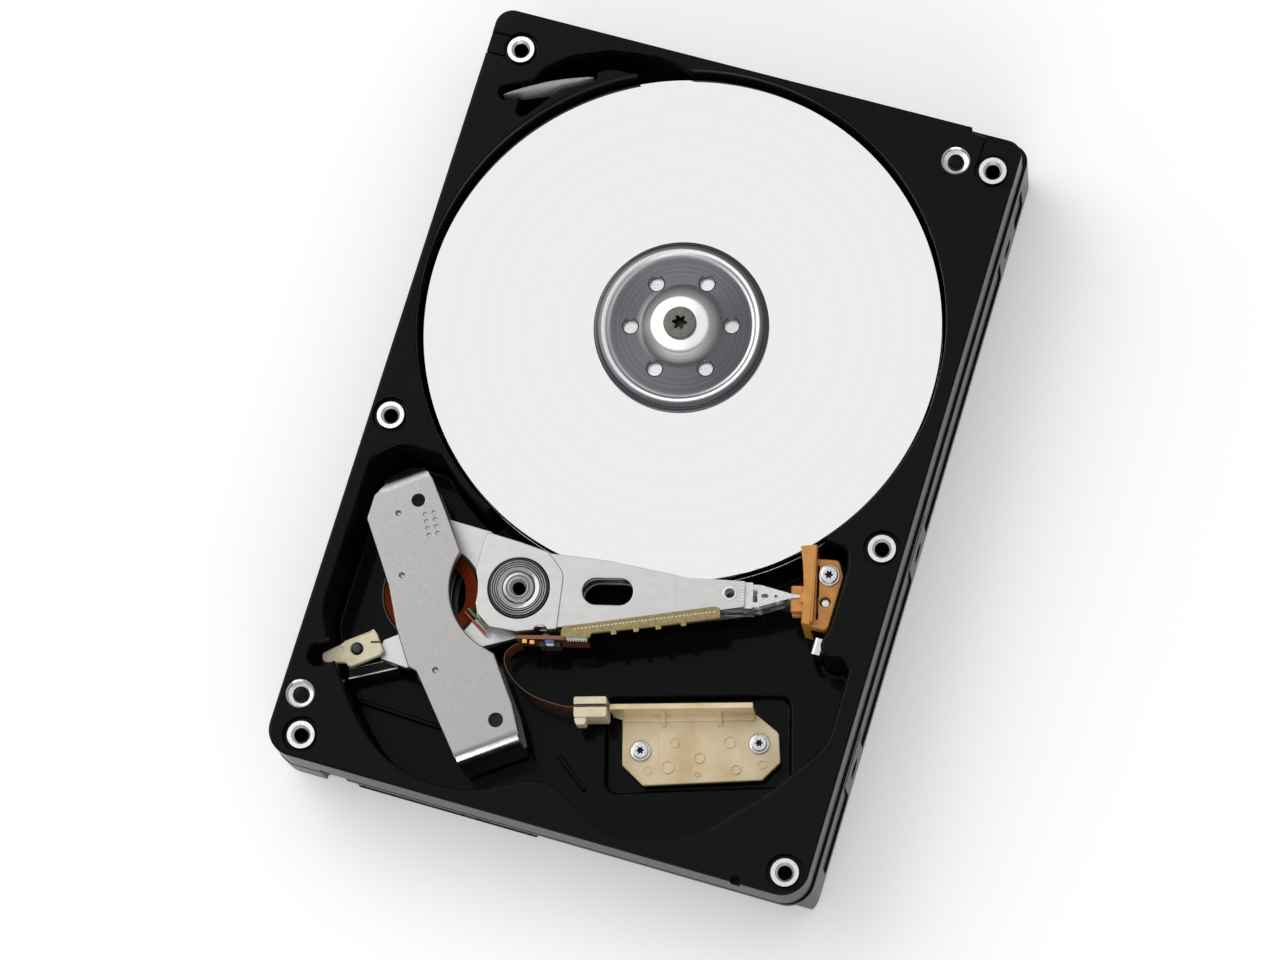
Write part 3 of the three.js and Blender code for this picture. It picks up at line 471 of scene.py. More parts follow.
def finish(name, color, second, roughness, pattern="", grain=900, stretch=(1, 1, 1), bump=0.1,
           bump_grain=None, bump_depth=0.00004, tangent=False, paint=None, **sockets):
    """A procedural material: two close tones, uneven roughness and a fine relief, all by noise."""
    material = bpy.data.materials.new(name)
    material.use_nodes = True
    tree = material.node_tree
    shader = tree.nodes["Principled BSDF"]
    for key, value in sockets.items():
        shader.inputs[key.replace("_", " ")].default_value = value
    where = surface_coordinates(tree, pattern, stretch)
    tone = add_node(tree, "ShaderNodeTexNoise", [("Vector", where)], Scale=grain, Detail=4.0)
    wear = add_node(tree, "ShaderNodeTexNoise", [("Vector", where)], Scale=grain / 3, Detail=5.0)
    relief = add_node(tree, "ShaderNodeTexNoise", [("Vector", where)], Scale=bump_grain or grain, Detail=3.0)
    colour = mixed(tree, remapped(tree, tone.outputs[0], 0, 1), color, second)
    if paint:
        colour = paint(tree, colour)
    tree.links.new(shader.inputs["Base Color"], colour)
    spread = 0.12 * roughness
    tree.links.new(shader.inputs["Roughness"], remapped(
        tree, wear.outputs[0], roughness - spread, roughness + spread))
    ridge = add_node(tree, "ShaderNodeBump", [("Height", relief.outputs[0])])
    ridge.inputs["Strength"].default_value = bump
    ridge.inputs["Distance"].default_value = bump_depth
    tree.links.new(shader.inputs["Normal"], ridge.outputs[0])
    if tangent:
        around = add_node(tree, "ShaderNodeTangent", direction_type="RADIAL", axis="Z")
        tree.links.new(shader.inputs["Tangent"], around.outputs[0])
    return material


def stripes(axis, pitch, share, colour, softness=0.1):
    """A painter that lays even lines across an axis, such as printed copper tracks."""
    def paint(tree, base):
        split = add_node(tree, "ShaderNodeSeparateXYZ", [
            ("Vector", add_node(tree, "ShaderNodeTexCoord").outputs["Object"])])
        scaled = add_node(tree, "ShaderNodeMath", [("Value", split.outputs[axis])], operation="DIVIDE")
        scaled.inputs[1].default_value = pitch * MM
        saw = add_node(tree, "ShaderNodeMath", [("Value", scaled.outputs[0])], operation="FRACT")
        line = remapped(tree, saw.outputs[0], 1, 0, share - softness, share + softness)
        return mixed(tree, line, base, colour)
    return paint


def board_tracks(tree, base):
    """A painter for covered copper tracks: two sizes of brick pattern, each kept in patches."""
    where = add_node(tree, "ShaderNodeTexCoord").outputs["Object"]
    colour = base
    for scale, width, shift in ((330, 0.55, 0.0), (800, 0.32, 7.0)):
        brick = add_node(tree, "ShaderNodeTexBrick", [("Vector", where)], Scale=scale)
        for key, value in (("Mortar Size", 0.03), ("Brick Width", width), ("Row Height", 0.14)):
            brick.inputs[key].default_value = value
        patch = add_node(tree, "ShaderNodeTexVoronoi", [("Vector", where)], distance="CHEBYCHEV",
                         Scale=140 + shift, Randomness=0.7)
        lines = add_node(tree, "ShaderNodeMath", [
            ("Value", brick.outputs["Fac"])], operation="MULTIPLY")
        tree.links.new(lines.inputs[1], remapped(tree, patch.outputs["Color"], 0, 1, 0.45, 0.52))
        colour = mixed(tree, lines.outputs[0], colour, (0.05, 0.26, 0.10))
    return colour


def painted_highlight_rings(tree, base):
    """A painter for painted highlight: it makes the clamp bright round its screw and along its rim, with soft
    edges.
    """
    where = surface_coordinates(tree, "turned", (1, 1, 1))
    split = add_node(tree, "ShaderNodeSeparateXYZ", [("Vector", where)])
    reach = 16
    share = remapped(tree, split.outputs["X"], 0, 1, 0, reach * MM)
    shades = add_node(tree, "ShaderNodeValToRGB", [("Fac", share)])
    ramp = shades.color_ramp
    stops = ((4.6, 1.0), (7.8, 0.0), (12.9, 0.0), (13.3, 0.8), (14.2, 0.8), (14.6, 0.0))
    while len(ramp.elements) < len(stops):
        ramp.elements.new(0.5)
    for element, (radius, shade) in zip(ramp.elements, stops):
        element.position = radius / reach
        element.color = (shade, shade, shade, 1)
    return mixed(tree, shades.outputs["Color"], base, (0.93, 0.93, 0.93))


def make_finishes():
    metal = dict(Metallic=1.0)
    turned = dict(pattern="turned", tangent=True, Metallic=1.0)
    return {
        "casting": finish("cast_black_coat", (0.0025, 0.0025, 0.0027), (0.0045, 0.0045, 0.005), 0.24,
                          grain=2600, bump=0.22, bump_grain=3200, Specular_IOR_Level=0.02,
                          Coat_Weight=0.15, Coat_Roughness=0.07),
        "machined": finish("bare_aluminium", (0.80, 0.80, 0.79), (0.68, 0.68, 0.67), 0.24,
                           grain=2500, bump=0.15, **metal),
        "hub": finish("turned_aluminium", (0.72, 0.72, 0.71), (0.60, 0.60, 0.59), 0.28, grain=6000,
                      bump=0.3, Anisotropic=0.5, **turned),
        "platter": finish("platter_mirror", (0.93, 0.93, 0.935), (0.915, 0.915, 0.92), 0.035,
                          pattern="turned", bump=0.0, **metal),
        # The clamp's dark web tone is painted shade; its painter adds painted highlight round the screw and
        # along the rim.
        "clamp": finish("turned_stainless", (0.155, 0.153, 0.17), (0.085, 0.085, 0.097), 0.28,
                        grain=4500, bump=0.3, bump_depth=0.00002, Anisotropic=0.85,
                        paint=painted_highlight_rings, **turned),
        # Also laid on the lower yoke, where this darker grey is painted shade.
        "grey_screw_and_painted_shade": finish("phosphated_steel_and_painted_shade", (0.20, 0.19, 0.17), (0.14, 0.135, 0.12), 0.5,
                             grain=5000, bump=0.3, Metallic=0.9),
        "screw": finish("plated_screw", (0.72, 0.72, 0.72), (0.55, 0.55, 0.56), 0.2, grain=1500, **metal),
        "steel": finish("polished_steel", (0.46, 0.46, 0.46), (0.24, 0.24, 0.25), 0.13, grain=7000,
                        bump=0.25, bump_depth=0.00002, Anisotropic=0.7, **turned),
        "spring": finish("spring_steel", (0.72, 0.72, 0.72), (0.60, 0.60, 0.61), 0.22, grain=1800, **metal),
        "nickel": finish("satin_nickel", (0.40, 0.393, 0.39), (0.34, 0.335, 0.33), 0.34,
                         grain=4200, bump=0.3, bump_grain=6500, **metal),
        "aluminium": finish("satin_aluminium", (0.56, 0.56, 0.55), (0.52, 0.52, 0.51), 0.33,
                            grain=700, stretch=(0.5, 1, 1), bump=0.06, **metal),
        "magnet": finish("magnet_nickel", (0.22, 0.22, 0.22), (0.16, 0.16, 0.165), 0.3, grain=1500, **metal),
        "copper": finish("enamelled_copper", (0.36, 0.085, 0.018), (0.27, 0.062, 0.014), 0.28,
                         grain=2800, bump=0.15, Metallic=0.85, Coat_Weight=0.5, Coat_Roughness=0.12),
        "black_plastic": finish("black_moulding", (0.010, 0.010, 0.010), (0.018, 0.018, 0.018), 0.5,
                                grain=4000, bump=0.3, Specular_IOR_Level=0.02),
        "rubber": finish("black_rubber", (0.01, 0.01, 0.01), (0.018, 0.018, 0.018), 0.38, grain=2500),
        "chip": finish("chip_package", (0.022, 0.022, 0.023), (0.035, 0.035, 0.036), 0.55,
                       grain=6000, bump=0.35),
        "polyimide": finish("brown_polyimide", (0.12, 0.033, 0.008), (0.07, 0.02, 0.006), 0.25,
                            grain=1200, paint=stripes("Z", 0.62, 0.5, (0.27, 0.085, 0.022)),
                            Coat_Weight=0.6, Coat_Roughness=0.08),
        "traces": finish("gold_film", (0.48, 0.37, 0.11), (0.32, 0.24, 0.06), 0.22, grain=1500,
                         Transmission_Weight=0.25, Coat_Weight=0.7, Coat_Roughness=0.08),
        "bracket": finish("cream_moulding", (0.94, 0.79, 0.54), (0.76, 0.57, 0.31), 0.24, grain=130,
                          bump=0.35, bump_grain=260, Subsurface_Weight=0.5, Subsurface_Scale=0.0012,
                          Subsurface_Radius=(1.0, 0.6, 0.3), Coat_Weight=0.6, Coat_Roughness=0.10),
        "ivory": finish("ivory_moulding", (0.80, 0.73, 0.52), (0.72, 0.64, 0.43), 0.4, grain=500,
                        Subsurface_Weight=0.35, Subsurface_Scale=0.0008, Subsurface_Radius=(1.0, 0.7, 0.4)),
        "ramp": finish("tan_moulding", (0.68, 0.31, 0.060), (0.58, 0.25, 0.042), 0.34, grain=700,
                       Subsurface_Weight=0.25, Subsurface_Scale=0.0007, Subsurface_Radius=(1.0, 0.5, 0.2)),
        "felt": finish("filter_felt", (0.50, 0.50, 0.53), (0.30, 0.30, 0.33), 0.95, grain=4200,
                       bump=1.0, bump_grain=3600, bump_depth=0.00025, Sheen_Weight=0.5),
        "board": finish("solder_mask", (0.008, 0.055, 0.022), (0.012, 0.075, 0.03), 0.3, grain=700,
                        paint=board_tracks, Coat_Weight=0.3, Coat_Roughness=0.2),
        "gold": finish("gold_contact", (0.80, 0.52, 0.16), (0.70, 0.43, 0.12), 0.22, grain=2000, **metal),
        "tin": finish("tinned_lead", (0.72, 0.72, 0.71), (0.60, 0.60, 0.59), 0.3, grain=2600, **metal),
        "ceramic": finish("ceramic_part", (0.36, 0.25, 0.15), (0.28, 0.19, 0.11), 0.5, grain=3000),
        "red_wire": finish("red_enamel", (0.65, 0.09, 0.04), (0.5, 0.06, 0.03), 0.3, grain=2000),
        "green_wire": finish("green_enamel", (0.10, 0.42, 0.10), (0.07, 0.30, 0.07), 0.3, grain=2000),
        "blue_part": finish("blue_glaze", (0.03, 0.10, 0.32), (0.02, 0.07, 0.24), 0.15, grain=2000,
                            Coat_Weight=0.8),
        "white_part": finish("white_ceramic", (0.78, 0.80, 0.82), (0.66, 0.68, 0.70), 0.2, grain=2500),
    }


FINISHES = make_finishes()

# ---------------------------------------------------------------- pieces


def new_object(name, solid, look, sharp):
    """An object in the scene from a solid in millimetres, smooth but for edges over the sharp angle."""
    mesh = new_mesh(name, solid, MM)
    mesh.materials.append(FINISHES[look])
    mesh.shade_smooth()
    mesh.set_sharp_from_angle(angle=math.radians(sharp))
    obj = bpy.data.objects.new(name, mesh)
    bpy.context.scene.collection.objects.link(obj)
    return obj


def add(name, solid, slot, look=None, stands_for=None, body=None, at=(0, 0), turn=0.0, sharp=32.0,
        second_look=None, second_where=None):
    """Make a piece from a solid drawn in its own turned frame, riding on a body: its node's, if not named."""
    obj = new_object(name, solid, look or slot, sharp)
    if second_look:
        mesh = obj.data
        mesh.materials.append(FINISHES[second_look])
        for polygon in mesh.polygons:
            if second_where([mesh.vertices[i].co / MM for i in polygon.vertices]):
                polygon.material_index = 1
    obj.matrix_world = (Matrix.Translation((at[0] * MM, at[1] * MM, 0))
                        @ Matrix.Rotation(math.radians(turn), 4, "Z"))
    normals = obj.modifiers.new("even normals", "WEIGHTED_NORMAL")
    normals.keep_sharp = True
    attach(obj, body or frame["nodes"][stands_for]["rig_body"])
    if stands_for:
        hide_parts(stands_for)
    return obj


def below(corners, z):
    return all(point.z < z for point in corners)


def star(radius, depth, top):
    """A cutter for a six-lobed driver recess."""
    lobes = []
    for i in range(72):
        a = 2 * math.pi * i / 72
        r = radius * (1 + 0.24 * math.cos(6 * a))
        lobes.append((r * math.cos(a), r * math.sin(a)))
    return prism(lobes, top - depth, top, flare=0.06)


STAR_SHARE = 0.38           # driver recess over head radius


def add_screw(node, name, solid, look, head_r, at, turn=0.0):
    """A screw whose driver recess takes the black rubber look as painted shade."""
    def painted_shade_recess(corners):
        depth = max(point.z for point in corners)
        reach = max(math.hypot(point.x, point.y) for point in corners)
        return depth < high(node).z - 0.05 and reach < 1.3 * STAR_SHARE * head_r

    add(name, solid, "screw", look, stands_for=node, at=at, turn=turn, second_look="rubber",
        second_where=painted_shade_recess)


def screw_solid(head_r, head_bottom, head_top, shank_r, shank_bottom, edge=0.25, flange=0.0, recess=1.2):
    """A screw with a rounded head, an optional washer flange and a six-lobed recess."""
    profile = [(0, shank_bottom), (shank_r, shank_bottom, 0.1), (shank_r, head_bottom)]
    if flange:
        step = head_bottom + 0.3 * (head_top - head_bottom)
        washer_r = head_r + flange
        profile += [(washer_r, head_bottom, 0.04), (washer_r, step, 0.08), (head_r, step + 0.05)]
    else:
        profile.append((head_r, head_bottom, 0.05))
    profile += [(head_r, head_top, edge), (0, head_top)]
    return cut(lathe(profile, 64), star(STAR_SHARE * head_r, recess, head_top))


# ---------------------------------------------------------------- casting


def casting_plan(inset, front, rear):
    """Plan of the casting between its front and rear ends; the rear corners are tighter."""
    side = HALF_WIDTH - inset
    return rounded([(-side, front, 5), (side, front, 5), (side, rear, 3.2), (-side, rear, 3.2)], 12)


def casting_blank():
    lower = prism(casting_plan(0, -HALF_LENGTH, HALF_LENGTH), 0, PARTING_Z, low_edge=0.4, high_edge=0.35)
    neck = prism(casting_plan(FLANGE_INSET + 1, 1 - HALF_LENGTH, FLANGE_END - 1),
                 PARTING_Z - 1, PARTING_Z + PARTING_GAP + 1)
    upper = prism(casting_plan(FLANGE_INSET, -HALF_LENGTH, FLANGE_END),
                  PARTING_Z + PARTING_GAP, HEIGHT, low_edge=0.3, high_edge=0.5)
    return join(lower, neck, upper)


def basin_outline():
    """Plan of the basin that holds the actuator; it opens into the disk cavity."""
    lip = arc(SPINDLE, LIP_R, 225.6, 241.4, 14)
    return rounded(lip + [
        (-22, -18), (31, -8), (34, -9.4), (40.4, -10, 2), (41.6, -14, 1.2), (41.4, -25.2, 2),
        (39.8, -31, 2), (44.9, -29.4, 1.5), (46.9, -31.5, 1.2), (47, -45.5, 10), (39.8, -56.2, 30),
        (29.9, -66.8, 16), (21.5, -71.1, 14), (11.8, -71.1, 10), (3.2, -66, 4), (-0.6, -64.9, 8),
        (-12, -71.1, 20), (-26, -71.1, 20), (-35.6, -63.9, 35), (-44, -52.7, 20), (-47.6, -46.2, 10),
        (-47.6, -17.2, 2.5), (-43, -13, 4)], 8)


def casting_hollows():
    cavity = pocket(circle(SPINDLE, CAVITY_R, 200), DISK_FLOOR, 1.0, 0.3)
    basin = pocket(basin_outline(), BASIN_FLOOR, 0.9, 0.55)
    pocket_plan = rounded([(-1, -15.2, 2), (32.4, -14.3, 2), (32.4, 2.2, 2), (-1, 2.2, 2)], 8)
    cable_pocket = moved(pocket(pocket_plan, POCKET_FLOOR, 0.5, 0.6, top=BASIN_FLOOR),
                         BRACKET_AT, BRACKET_ANGLE)
    latch_notch = pocket(capsule((-45.6, -54.4), (-42, -51.5), 2.2), 19, 0.0, 0.3)
    return [cavity, basin, cable_pocket, latch_notch]


def filter_hollows():
    floor = DISK_FLOOR + 2
    channel = rounded([
        (-41.3, 57.5, 0.5), (-38.8, 62.4, 4), (-34.9, 65.8, 6), (-28.1, 68.7, 8), (-20, 69.8, 8),
        (-12, 68.9), (-12, 66.6), (-20.1, 65.6, 4), (-27.1, 65.3, 5), (-32, 62)], 8)
    notch = rounded([(-41.6, 56.5, 0.6), (-41.6, 51.2, 1), (-39.5, 52.7, 0.8), (-34, 60)], 6)
    slot = capsule((-44.4, 55.9), (-30.4, 62.9), 1.5)
    return [pocket(channel, floor, 0.0, 0.35), pocket(notch, floor + 0.02, 0.0, 0.3),
            pocket(slot, floor + 0.04, 0.0, 0.25)]


def boss_cuts():
    """Ring grooves and countersunk screw holes that leave the machined bosses standing."""
    groove_floor = HEIGHT - 1.3
    top = HEIGHT + 1
    groove = [
        (BOSS_R, groove_floor, 0.2), (BOSS_GROOVE_R, groove_floor, 0.2), (BOSS_GROOVE_R, HEIGHT - 0.25),
        (BOSS_GROOVE_R + 0.3, top), (BOSS_R - 0.1, top), (BOSS_R - 0.05, HEIGHT - 0.1),
        (BOSS_R, HEIGHT - 0.2)]
    screw_hole = [(0, HEIGHT - 9), (1.3, HEIGHT - 9), (1.3, HEIGHT - 0.55), (1.75, HEIGHT - 0.1),
                  (1.75, top), (0, top)]
    pin_hole = [
        (0, HEIGHT - 8), (PIN_R + 0.05, HEIGHT - 8), (PIN_R + 0.05, HEIGHT - 0.9),
        (PIN_RING_R, HEIGHT - 0.7, 0.1), (PIN_RING_R, HEIGHT - 0.2), (PIN_RING_R + 0.25, HEIGHT),
        (PIN_RING_R + 0.25, top), (0, top)]
    grooves = [lathe(groove, 48, at, 3) for at in COVER_BOSSES]
    holes = [lathe(screw_hole, 40, at) for at in COVER_BOSSES]
    holes += [lathe(pin_hole, 48, at) for at in COVER_PINS.values()]
    return [merged(*grooves), merged(*holes)]


def top_steps():
    """Rear corner ledge, boss platform and vent channel in the top face, and a notch at its front end."""
    top = HEIGHT + 1
    ledge_plan = rounded([(39.2, 76), (40.6, 70.6, 0.6), (54, 70), (54, 76)])
    platform_plan = rounded([(43.2, 62.3, 1.4), (54, 62.3), (54, 71.2), (43.2, 71.2)])
    vent_plan = rounded([(-54, 62.4), (-44.2, 62.4, 1), (-44.2, 66.6, 1), (-54, 66.6)])
    ledge = pocket(ledge_plan, HEIGHT - 2.7, 0.3, 0.5)
    platform = pocket(platform_plan, HEIGHT - 0.9, 0.2, 0.35)
    vent = pocket(vent_plan, HEIGHT - 0.7, 0.1, 0.25)
    vent_edge = pocket(capsule((-54, 62.6), (-46.4, 62.6), 0.24, 6), HEIGHT - 1.3, 0.0, 0.1)
    end_notch = prism(capsule((38.2, -74.2), (38.2, -73.1), 0.9), HEIGHT - 3, top)
    bosses = merged(*[prism(circle(at, BOSS_R, 48), HEIGHT - 4, top + 1) for at in COVER_BOSSES])
    return [cut(step, bosses) for step in (ledge, platform, vent)] + [end_notch, vent_edge]


def underside_cuts():
    rail_x = HALF_WIDTH - RAIL_WIDTH
    deck = prism(rectangle(-rail_x, -66, rail_x, HALF_LENGTH - 4.5, 4, 8), -1, UNDER_DECK, high_edge=0.5)
    bay_left, bay_right = BOARD_BAY
    mouth = prism(rectangle(bay_left, -HALF_LENGTH - 1, bay_right, -60, 1, 4), -1.02, UNDER_DECK + 1)
    pads = [prism(circle(at, 3, 32), 2.3, DISK_FLOOR) for at in BOARD_SCREWS]
    recess = cut(join(deck, mouth), prism(circle(SPINDLE, 17, 96), 1.2, DISK_FLOOR), *pads)
    ring = lathe([(20, UNDER_DECK - 1), (43, UNDER_DECK - 1), (43, DISK_FLOOR - 3, 0.5),
                  (20, DISK_FLOOR - 3, 0.5)], 120, SPINDLE)
    for degrees in (15, 45, 75, 105, 135, 165):
        rib = prism(rectangle(-45, -0.7, 45, 0.7), 0, DISK_FLOOR)
        ring = cut(ring, moved(rib, SPINDLE, degrees))
    return [recess, ring]


def fastener_holes():
    up = []
    for at in BOARD_SCREWS:
        up.append(prism(circle(at, 1.25, 24), 0.5, 6.2))
    for along in BASE_HOLES:
        for side in (-1, 1):
            at = (side * BASE_HOLE_X, along - HALF_LENGTH)
            up.append(lathe([(0, -1), (2.0, -1), (2.0, 0), (1.6, 0.4), (1.6, 5), (0, 5.8)], 32, at))
    across = []
    for along in SIDE_HOLES:
        for side in (-1, 1):
            hole = lathe([(0, HALF_WIDTH - 4.6), (1.6, HALF_WIDTH - 4), (1.6, HALF_WIDTH - 0.4),
                          (2.0, HALF_WIDTH), (2.0, HALF_WIDTH + 1), (0, HALF_WIDTH + 1)], 32,
                         (side * (along - HALF_LENGTH), SIDE_HOLE_Z))
            points, faces = facing_x(hole)
            points = points * (side, side, 1)
            across.append((points, faces))
    return [merged(*up), merged(*across)]


def side_reliefs():
    """Shallow panels between the mounting pads, and the slits over the pads."""
    half = 4.6
    y = [along - HALF_LENGTH for along in SIDE_HOLES]
    spans = [(-HALF_LENGTH + 9, y[0] - half), (y[0] + half, y[1] - half), (y[1] + half, y[2] - half),
             (y[2] + half, HALF_LENGTH - 7)]
    cutters = []
    for side in (-1, 1):
        inner, outer = sorted((side * (HALF_WIDTH - 0.35), side * (HALF_WIDTH + 1)))
        for start, end in spans:
            cutters.append(facing_x(prism(rectangle(start, 2.5, end, 12.5, 0.9, 6), inner, outer)))
        inner, outer = sorted((side * (HALF_WIDTH - 1.4), side * (HALF_WIDTH + 1)))
        for centre in y[:2]:
            slit = rectangle(centre - 5.6, 12.9, centre + 5.6, 14.3, 0.6, 6)
            cutters.append(facing_x(prism(slit, inner, outer)))
    return [merged(*cutters)]


def end_recesses():
    """The board's bay at the connector end, and both rails set back under the wall."""
    end = -HALF_LENGTH
    bay_left, bay_right = BOARD_BAY
    bay_plan = rectangle(bay_left, end - 1, bay_right, end + BOARD_BAY_DEPTH, 0.3, 3)
    board_bay = prism(bay_plan, -1, END_BAND_Z)
    corner_bay = prism(rectangle(-40.7, end - 1, -36, end + 1, 0.5, 4), -1.04, END_BAND_Z + 4)
    left_rail = prism(rectangle(-52, end - 1, -36, end + RAIL_SETBACK), -1.02, LEFT_CORNER_Z)
    right_rail = prism(rectangle(37.5, end - 1, 52, end + RAIL_SETBACK), -1.06, END_BAND_Z + 0.01)
    return [join(board_bay, corner_bay, left_rail, right_rail)]


def floor_ribs():
    """Low flow ribs on the basin's floor."""
    routes = [((-38.8, -58.4), (-23.3, -59)), ((-0.5, -58.4), (5.2, -62.6)), ((39.2, -55.4), (30, -63.4))]
    return [prism(capsule(start, end, 0.45, 6), BASIN_FLOOR - 0.5, BASIN_FLOOR + 1.1, high_edge=0.3)
            for start, end in routes]


def base_casting():
    motor_seat = prism(circle(SPINDLE, 13.2, 96), 2.8, 13.2)
    solid = cut(casting_blank(), *casting_hollows(), *filter_hollows(), *top_steps(), *underside_cuts(),
                *end_recesses(), motor_seat)
    solid = join(solid, *floor_ribs())
    slots = [moved(block(8, -6.6, 0, 24, -2.6, BASIN_FLOOR), BRACKET_AT, BRACKET_ANGLE),
             block(-6.7, 2.2, 0, 5.3, 4.4, DISK_FLOOR + 0.5)]
    solid = cut(solid, *boss_cuts(), *fastener_holes(), *side_reliefs(), *slots)

    bare = [(at, BOSS_R + 0.02) for at in COVER_BOSSES]
    bare += [(at, PIN_RING_R + 0.27) for at in COVER_PINS.values()]

    def bare_metal(corners):
        """Boss faces and pin counterbores are machined after the coating."""
        return any(all(point.z > HEIGHT - 1.7 and math.dist(point[:2], at) < radius for point in corners)
                   for at, radius in bare)

    add("casting", solid, "casting", stands_for="base_casting", second_look="machined",
        second_where=bare_metal, sharp=28)


def cover_pins():
    for node, at in COVER_PINS.items():
        top = high(node).z
        solid = lathe([(0, low(node).z), (PIN_R, low(node).z, 0.2), (PIN_R, top, 0.5), (0, top)], 48)
        add(node + "_post", solid, "casting", stands_for=node, at=at)


def recirculation_filter():
    """A pillow of filter felt: thick in the middle, pinched at its ends, standing in its slot."""
    start, end = Vector((-44.2, 56.0)), Vector((-30.6, 62.8))
    middle = (start + end) / 2
    bottom, top = heights("recirculation_filter")
    along = (end - start).normalized()
    across = Vector((-along.y, along.x))
    half_span = (end - start).length / 2 + 1.05
    rows, columns = 26, 96
    rings = []
    for row in range(rows + 1):
        height = row / rows
        crown = math.sqrt(max(0.0, 1 - max(0.0, (height - 0.72) / 0.28) ** 2.2))
        ring = []
        for column in range(columns):
            a = 2 * math.pi * column / columns
            u = math.cos(a)
            plump = 1.05 - 0.35 * abs(u) ** 3 + 0.10 * math.sin(3.2 * u + 0.6)
            side = math.copysign(abs(math.sin(a)) ** 0.8, math.sin(a)) * plump
            bow = 0.14 * math.cos(1.7 * u + 0.4)
            reach = half_span * u * (0.985 if crown > 0.5 else 0.9)
            point = middle + along * reach + across * (0.98 * side * max(crown, 0.12) + bow)
            fuzz = 0.05 * noise.noise(Vector((point.x, point.y, 6 * height)) * 1.9)
            z = bottom + (top - bottom) * height - 0.35 * (abs(u) ** 4) * height + fuzz * 1.5
            ring.append((point.x + across.x * fuzz, point.y + across.y * fuzz, min(z, top)))
        rings.append(np.array(ring))
    # Below 3.4 mm under its top the felt takes the black rubber look: painted shade down the pillow's sides.
    obj = add("filter_pillow", rings_to_solid(rings), "felt", stands_for="recirculation_filter",
              sharp=80, second_look="rubber", second_where=lambda corners: below(corners, top - 3.4))


# ---------------------------------------------------------------- spindle


def platters():
    for node in ("platter_lower", "platter_upper"):
        bottom, top = heights(node)
        radius = high(node).x - SPINDLE[0]
        edge = 0.12
        section = [(12.5, bottom, edge), (radius, bottom, edge), (radius, top, edge), (12.5, top, edge)]
        solid = lathe(section, 256)
        add(node + "_disk", solid, "platter", stands_for=node, at=SPINDLE)


def disk_clamp():
    """Spun steel clamp: stepped skirt, rolled rim, flat web with six tool holes, raised cone."""
    seat, top = heights("disk_clamp")
    underside = [(1.75, top - 0.8), (2.6, top - 0.8, 0.3), (5.6, seat + 0.05, 0.5), (13.2, seat + 0.05)]
    skirt = [(16.05, seat, 0.1), (16.05, seat + 0.55, 0.25), (15.5, seat + 0.75, 0.15),
             (15.2, seat + 1.25, 0.3), (14.35, seat + 1.42, 0.2), (13.85, seat + 1.38, 0.25),
             (13.45, seat + 1.0, 0.2)]
    web_and_cone = [(13.0, seat + 0.85, 0.2), (7.6, seat + 1.0, 2.6), (5.2, top - 0.15, 1.6),
                    (3.2, top - 0.02, 0.2), (1.75, top)]
    solid = lathe(underside + skirt + web_and_cone, 192, corner_steps=5)
    hole = [(0, seat - 1), (1.35, seat - 1), (1.35, seat + 0.72), (1.6, seat + 0.94), (1.6, seat + 3),
            (0, seat + 3)]
    holes = [lathe(hole, 40, polar((0, 0), 9.25, 60 * i)) for i in range(6)]
    add("clamp", cut(solid, merged(*holes)), "clamp", stands_for="disk_clamp", at=SPINDLE, turn=15.5)


def clamp_screw():
    bottom, top = heights("clamp_screw")
    head_r = 3.0
    solid = screw_solid(head_r, top - 0.8, top, 1.5, bottom, edge=0.18, recess=2.4)
    add_screw("clamp_screw", "centre_screw", solid, "grey_screw_and_painted_shade", head_r, SPINDLE, 8)


# ---------------------------------------------------------------- voice-coil motor

YOKE_ARC_R = 12.5
YOKE_EDGE = 36.1
YOKE_T = 1.5
YOKE_HOLES = [(-37, -22.2, 1.2), (-11.4, -57, 1.3)]
YOKE_PITS = [(-39.8, -25.5), (-35.7, -36.3), (-24.6, -51.3)]


def yoke_outline():
    bite = arc(PIVOT, YOKE_ARC_R, 164, 256, 30)
    return rounded([(-44, -21.4, 0.3), (-37.2, -16.4, 0.3), (-35.7, -17.5, 1), (-31.3, -23.1, 0.3)] + bite + [
        (-15.3, -45.5), (-9.4, -53.4, 0.3), (-6.6, -58.4, 0.5), (-16.5, -65.7, 0.5), (-27.9, -52.4, 1),
        (-29.5, -52.1, 1), (-34, -45.5, 3), (-37.5, -38.8, 3), (-40.7, -34.2, 2), (-45.1, -28, 1),
        (-45.1, -23.4, 1)], 5)


def bent_flange(at, width, side, top, bottom):
    """A flange folded down from the plate's edge with a round bend, and the cutter that rounds the edge."""
    reach, thickness, bend = 1.5, 1.2, 2.8
    axis = (reach - bend, top - bend)
    outside = arc(axis, bend, 90, 0, 8)
    inside = arc(axis, bend - thickness, 0, 90, 8)
    section = [(-1.6, top - 0.01)] + outside + [(reach, bottom), (reach - thickness, bottom)] + inside
    corner = outside + [(reach + 1, top - bend), (reach + 1, top + 1), (axis[0], top + 1)]
    section.append((-1.6, top - thickness))
    pieces = []
    for shape, start, end in ((section, 0.25, width - 0.25), (corner, -1, width + 1)):
        solid = facing_x(prism([(side * across, z) for across, z in shape], start, end))
        pieces.append(moved(solid, at, YOKE_EDGE))
    return pieces


def code_dimples():
    """A small grid of round punch marks, where such plates carry a stamped code."""
    top = high("yoke_top").z
    marks = []
    for row in range(4):
        for column in range(2):
            at = turned_points([(row * 1.3, column * 1.6)], -62, (-35.0, -24.4))[0]
            marks.append(prism(circle(at, 0.36, 20), top - 0.28, top, flare=0.1))
    return merged(*marks)


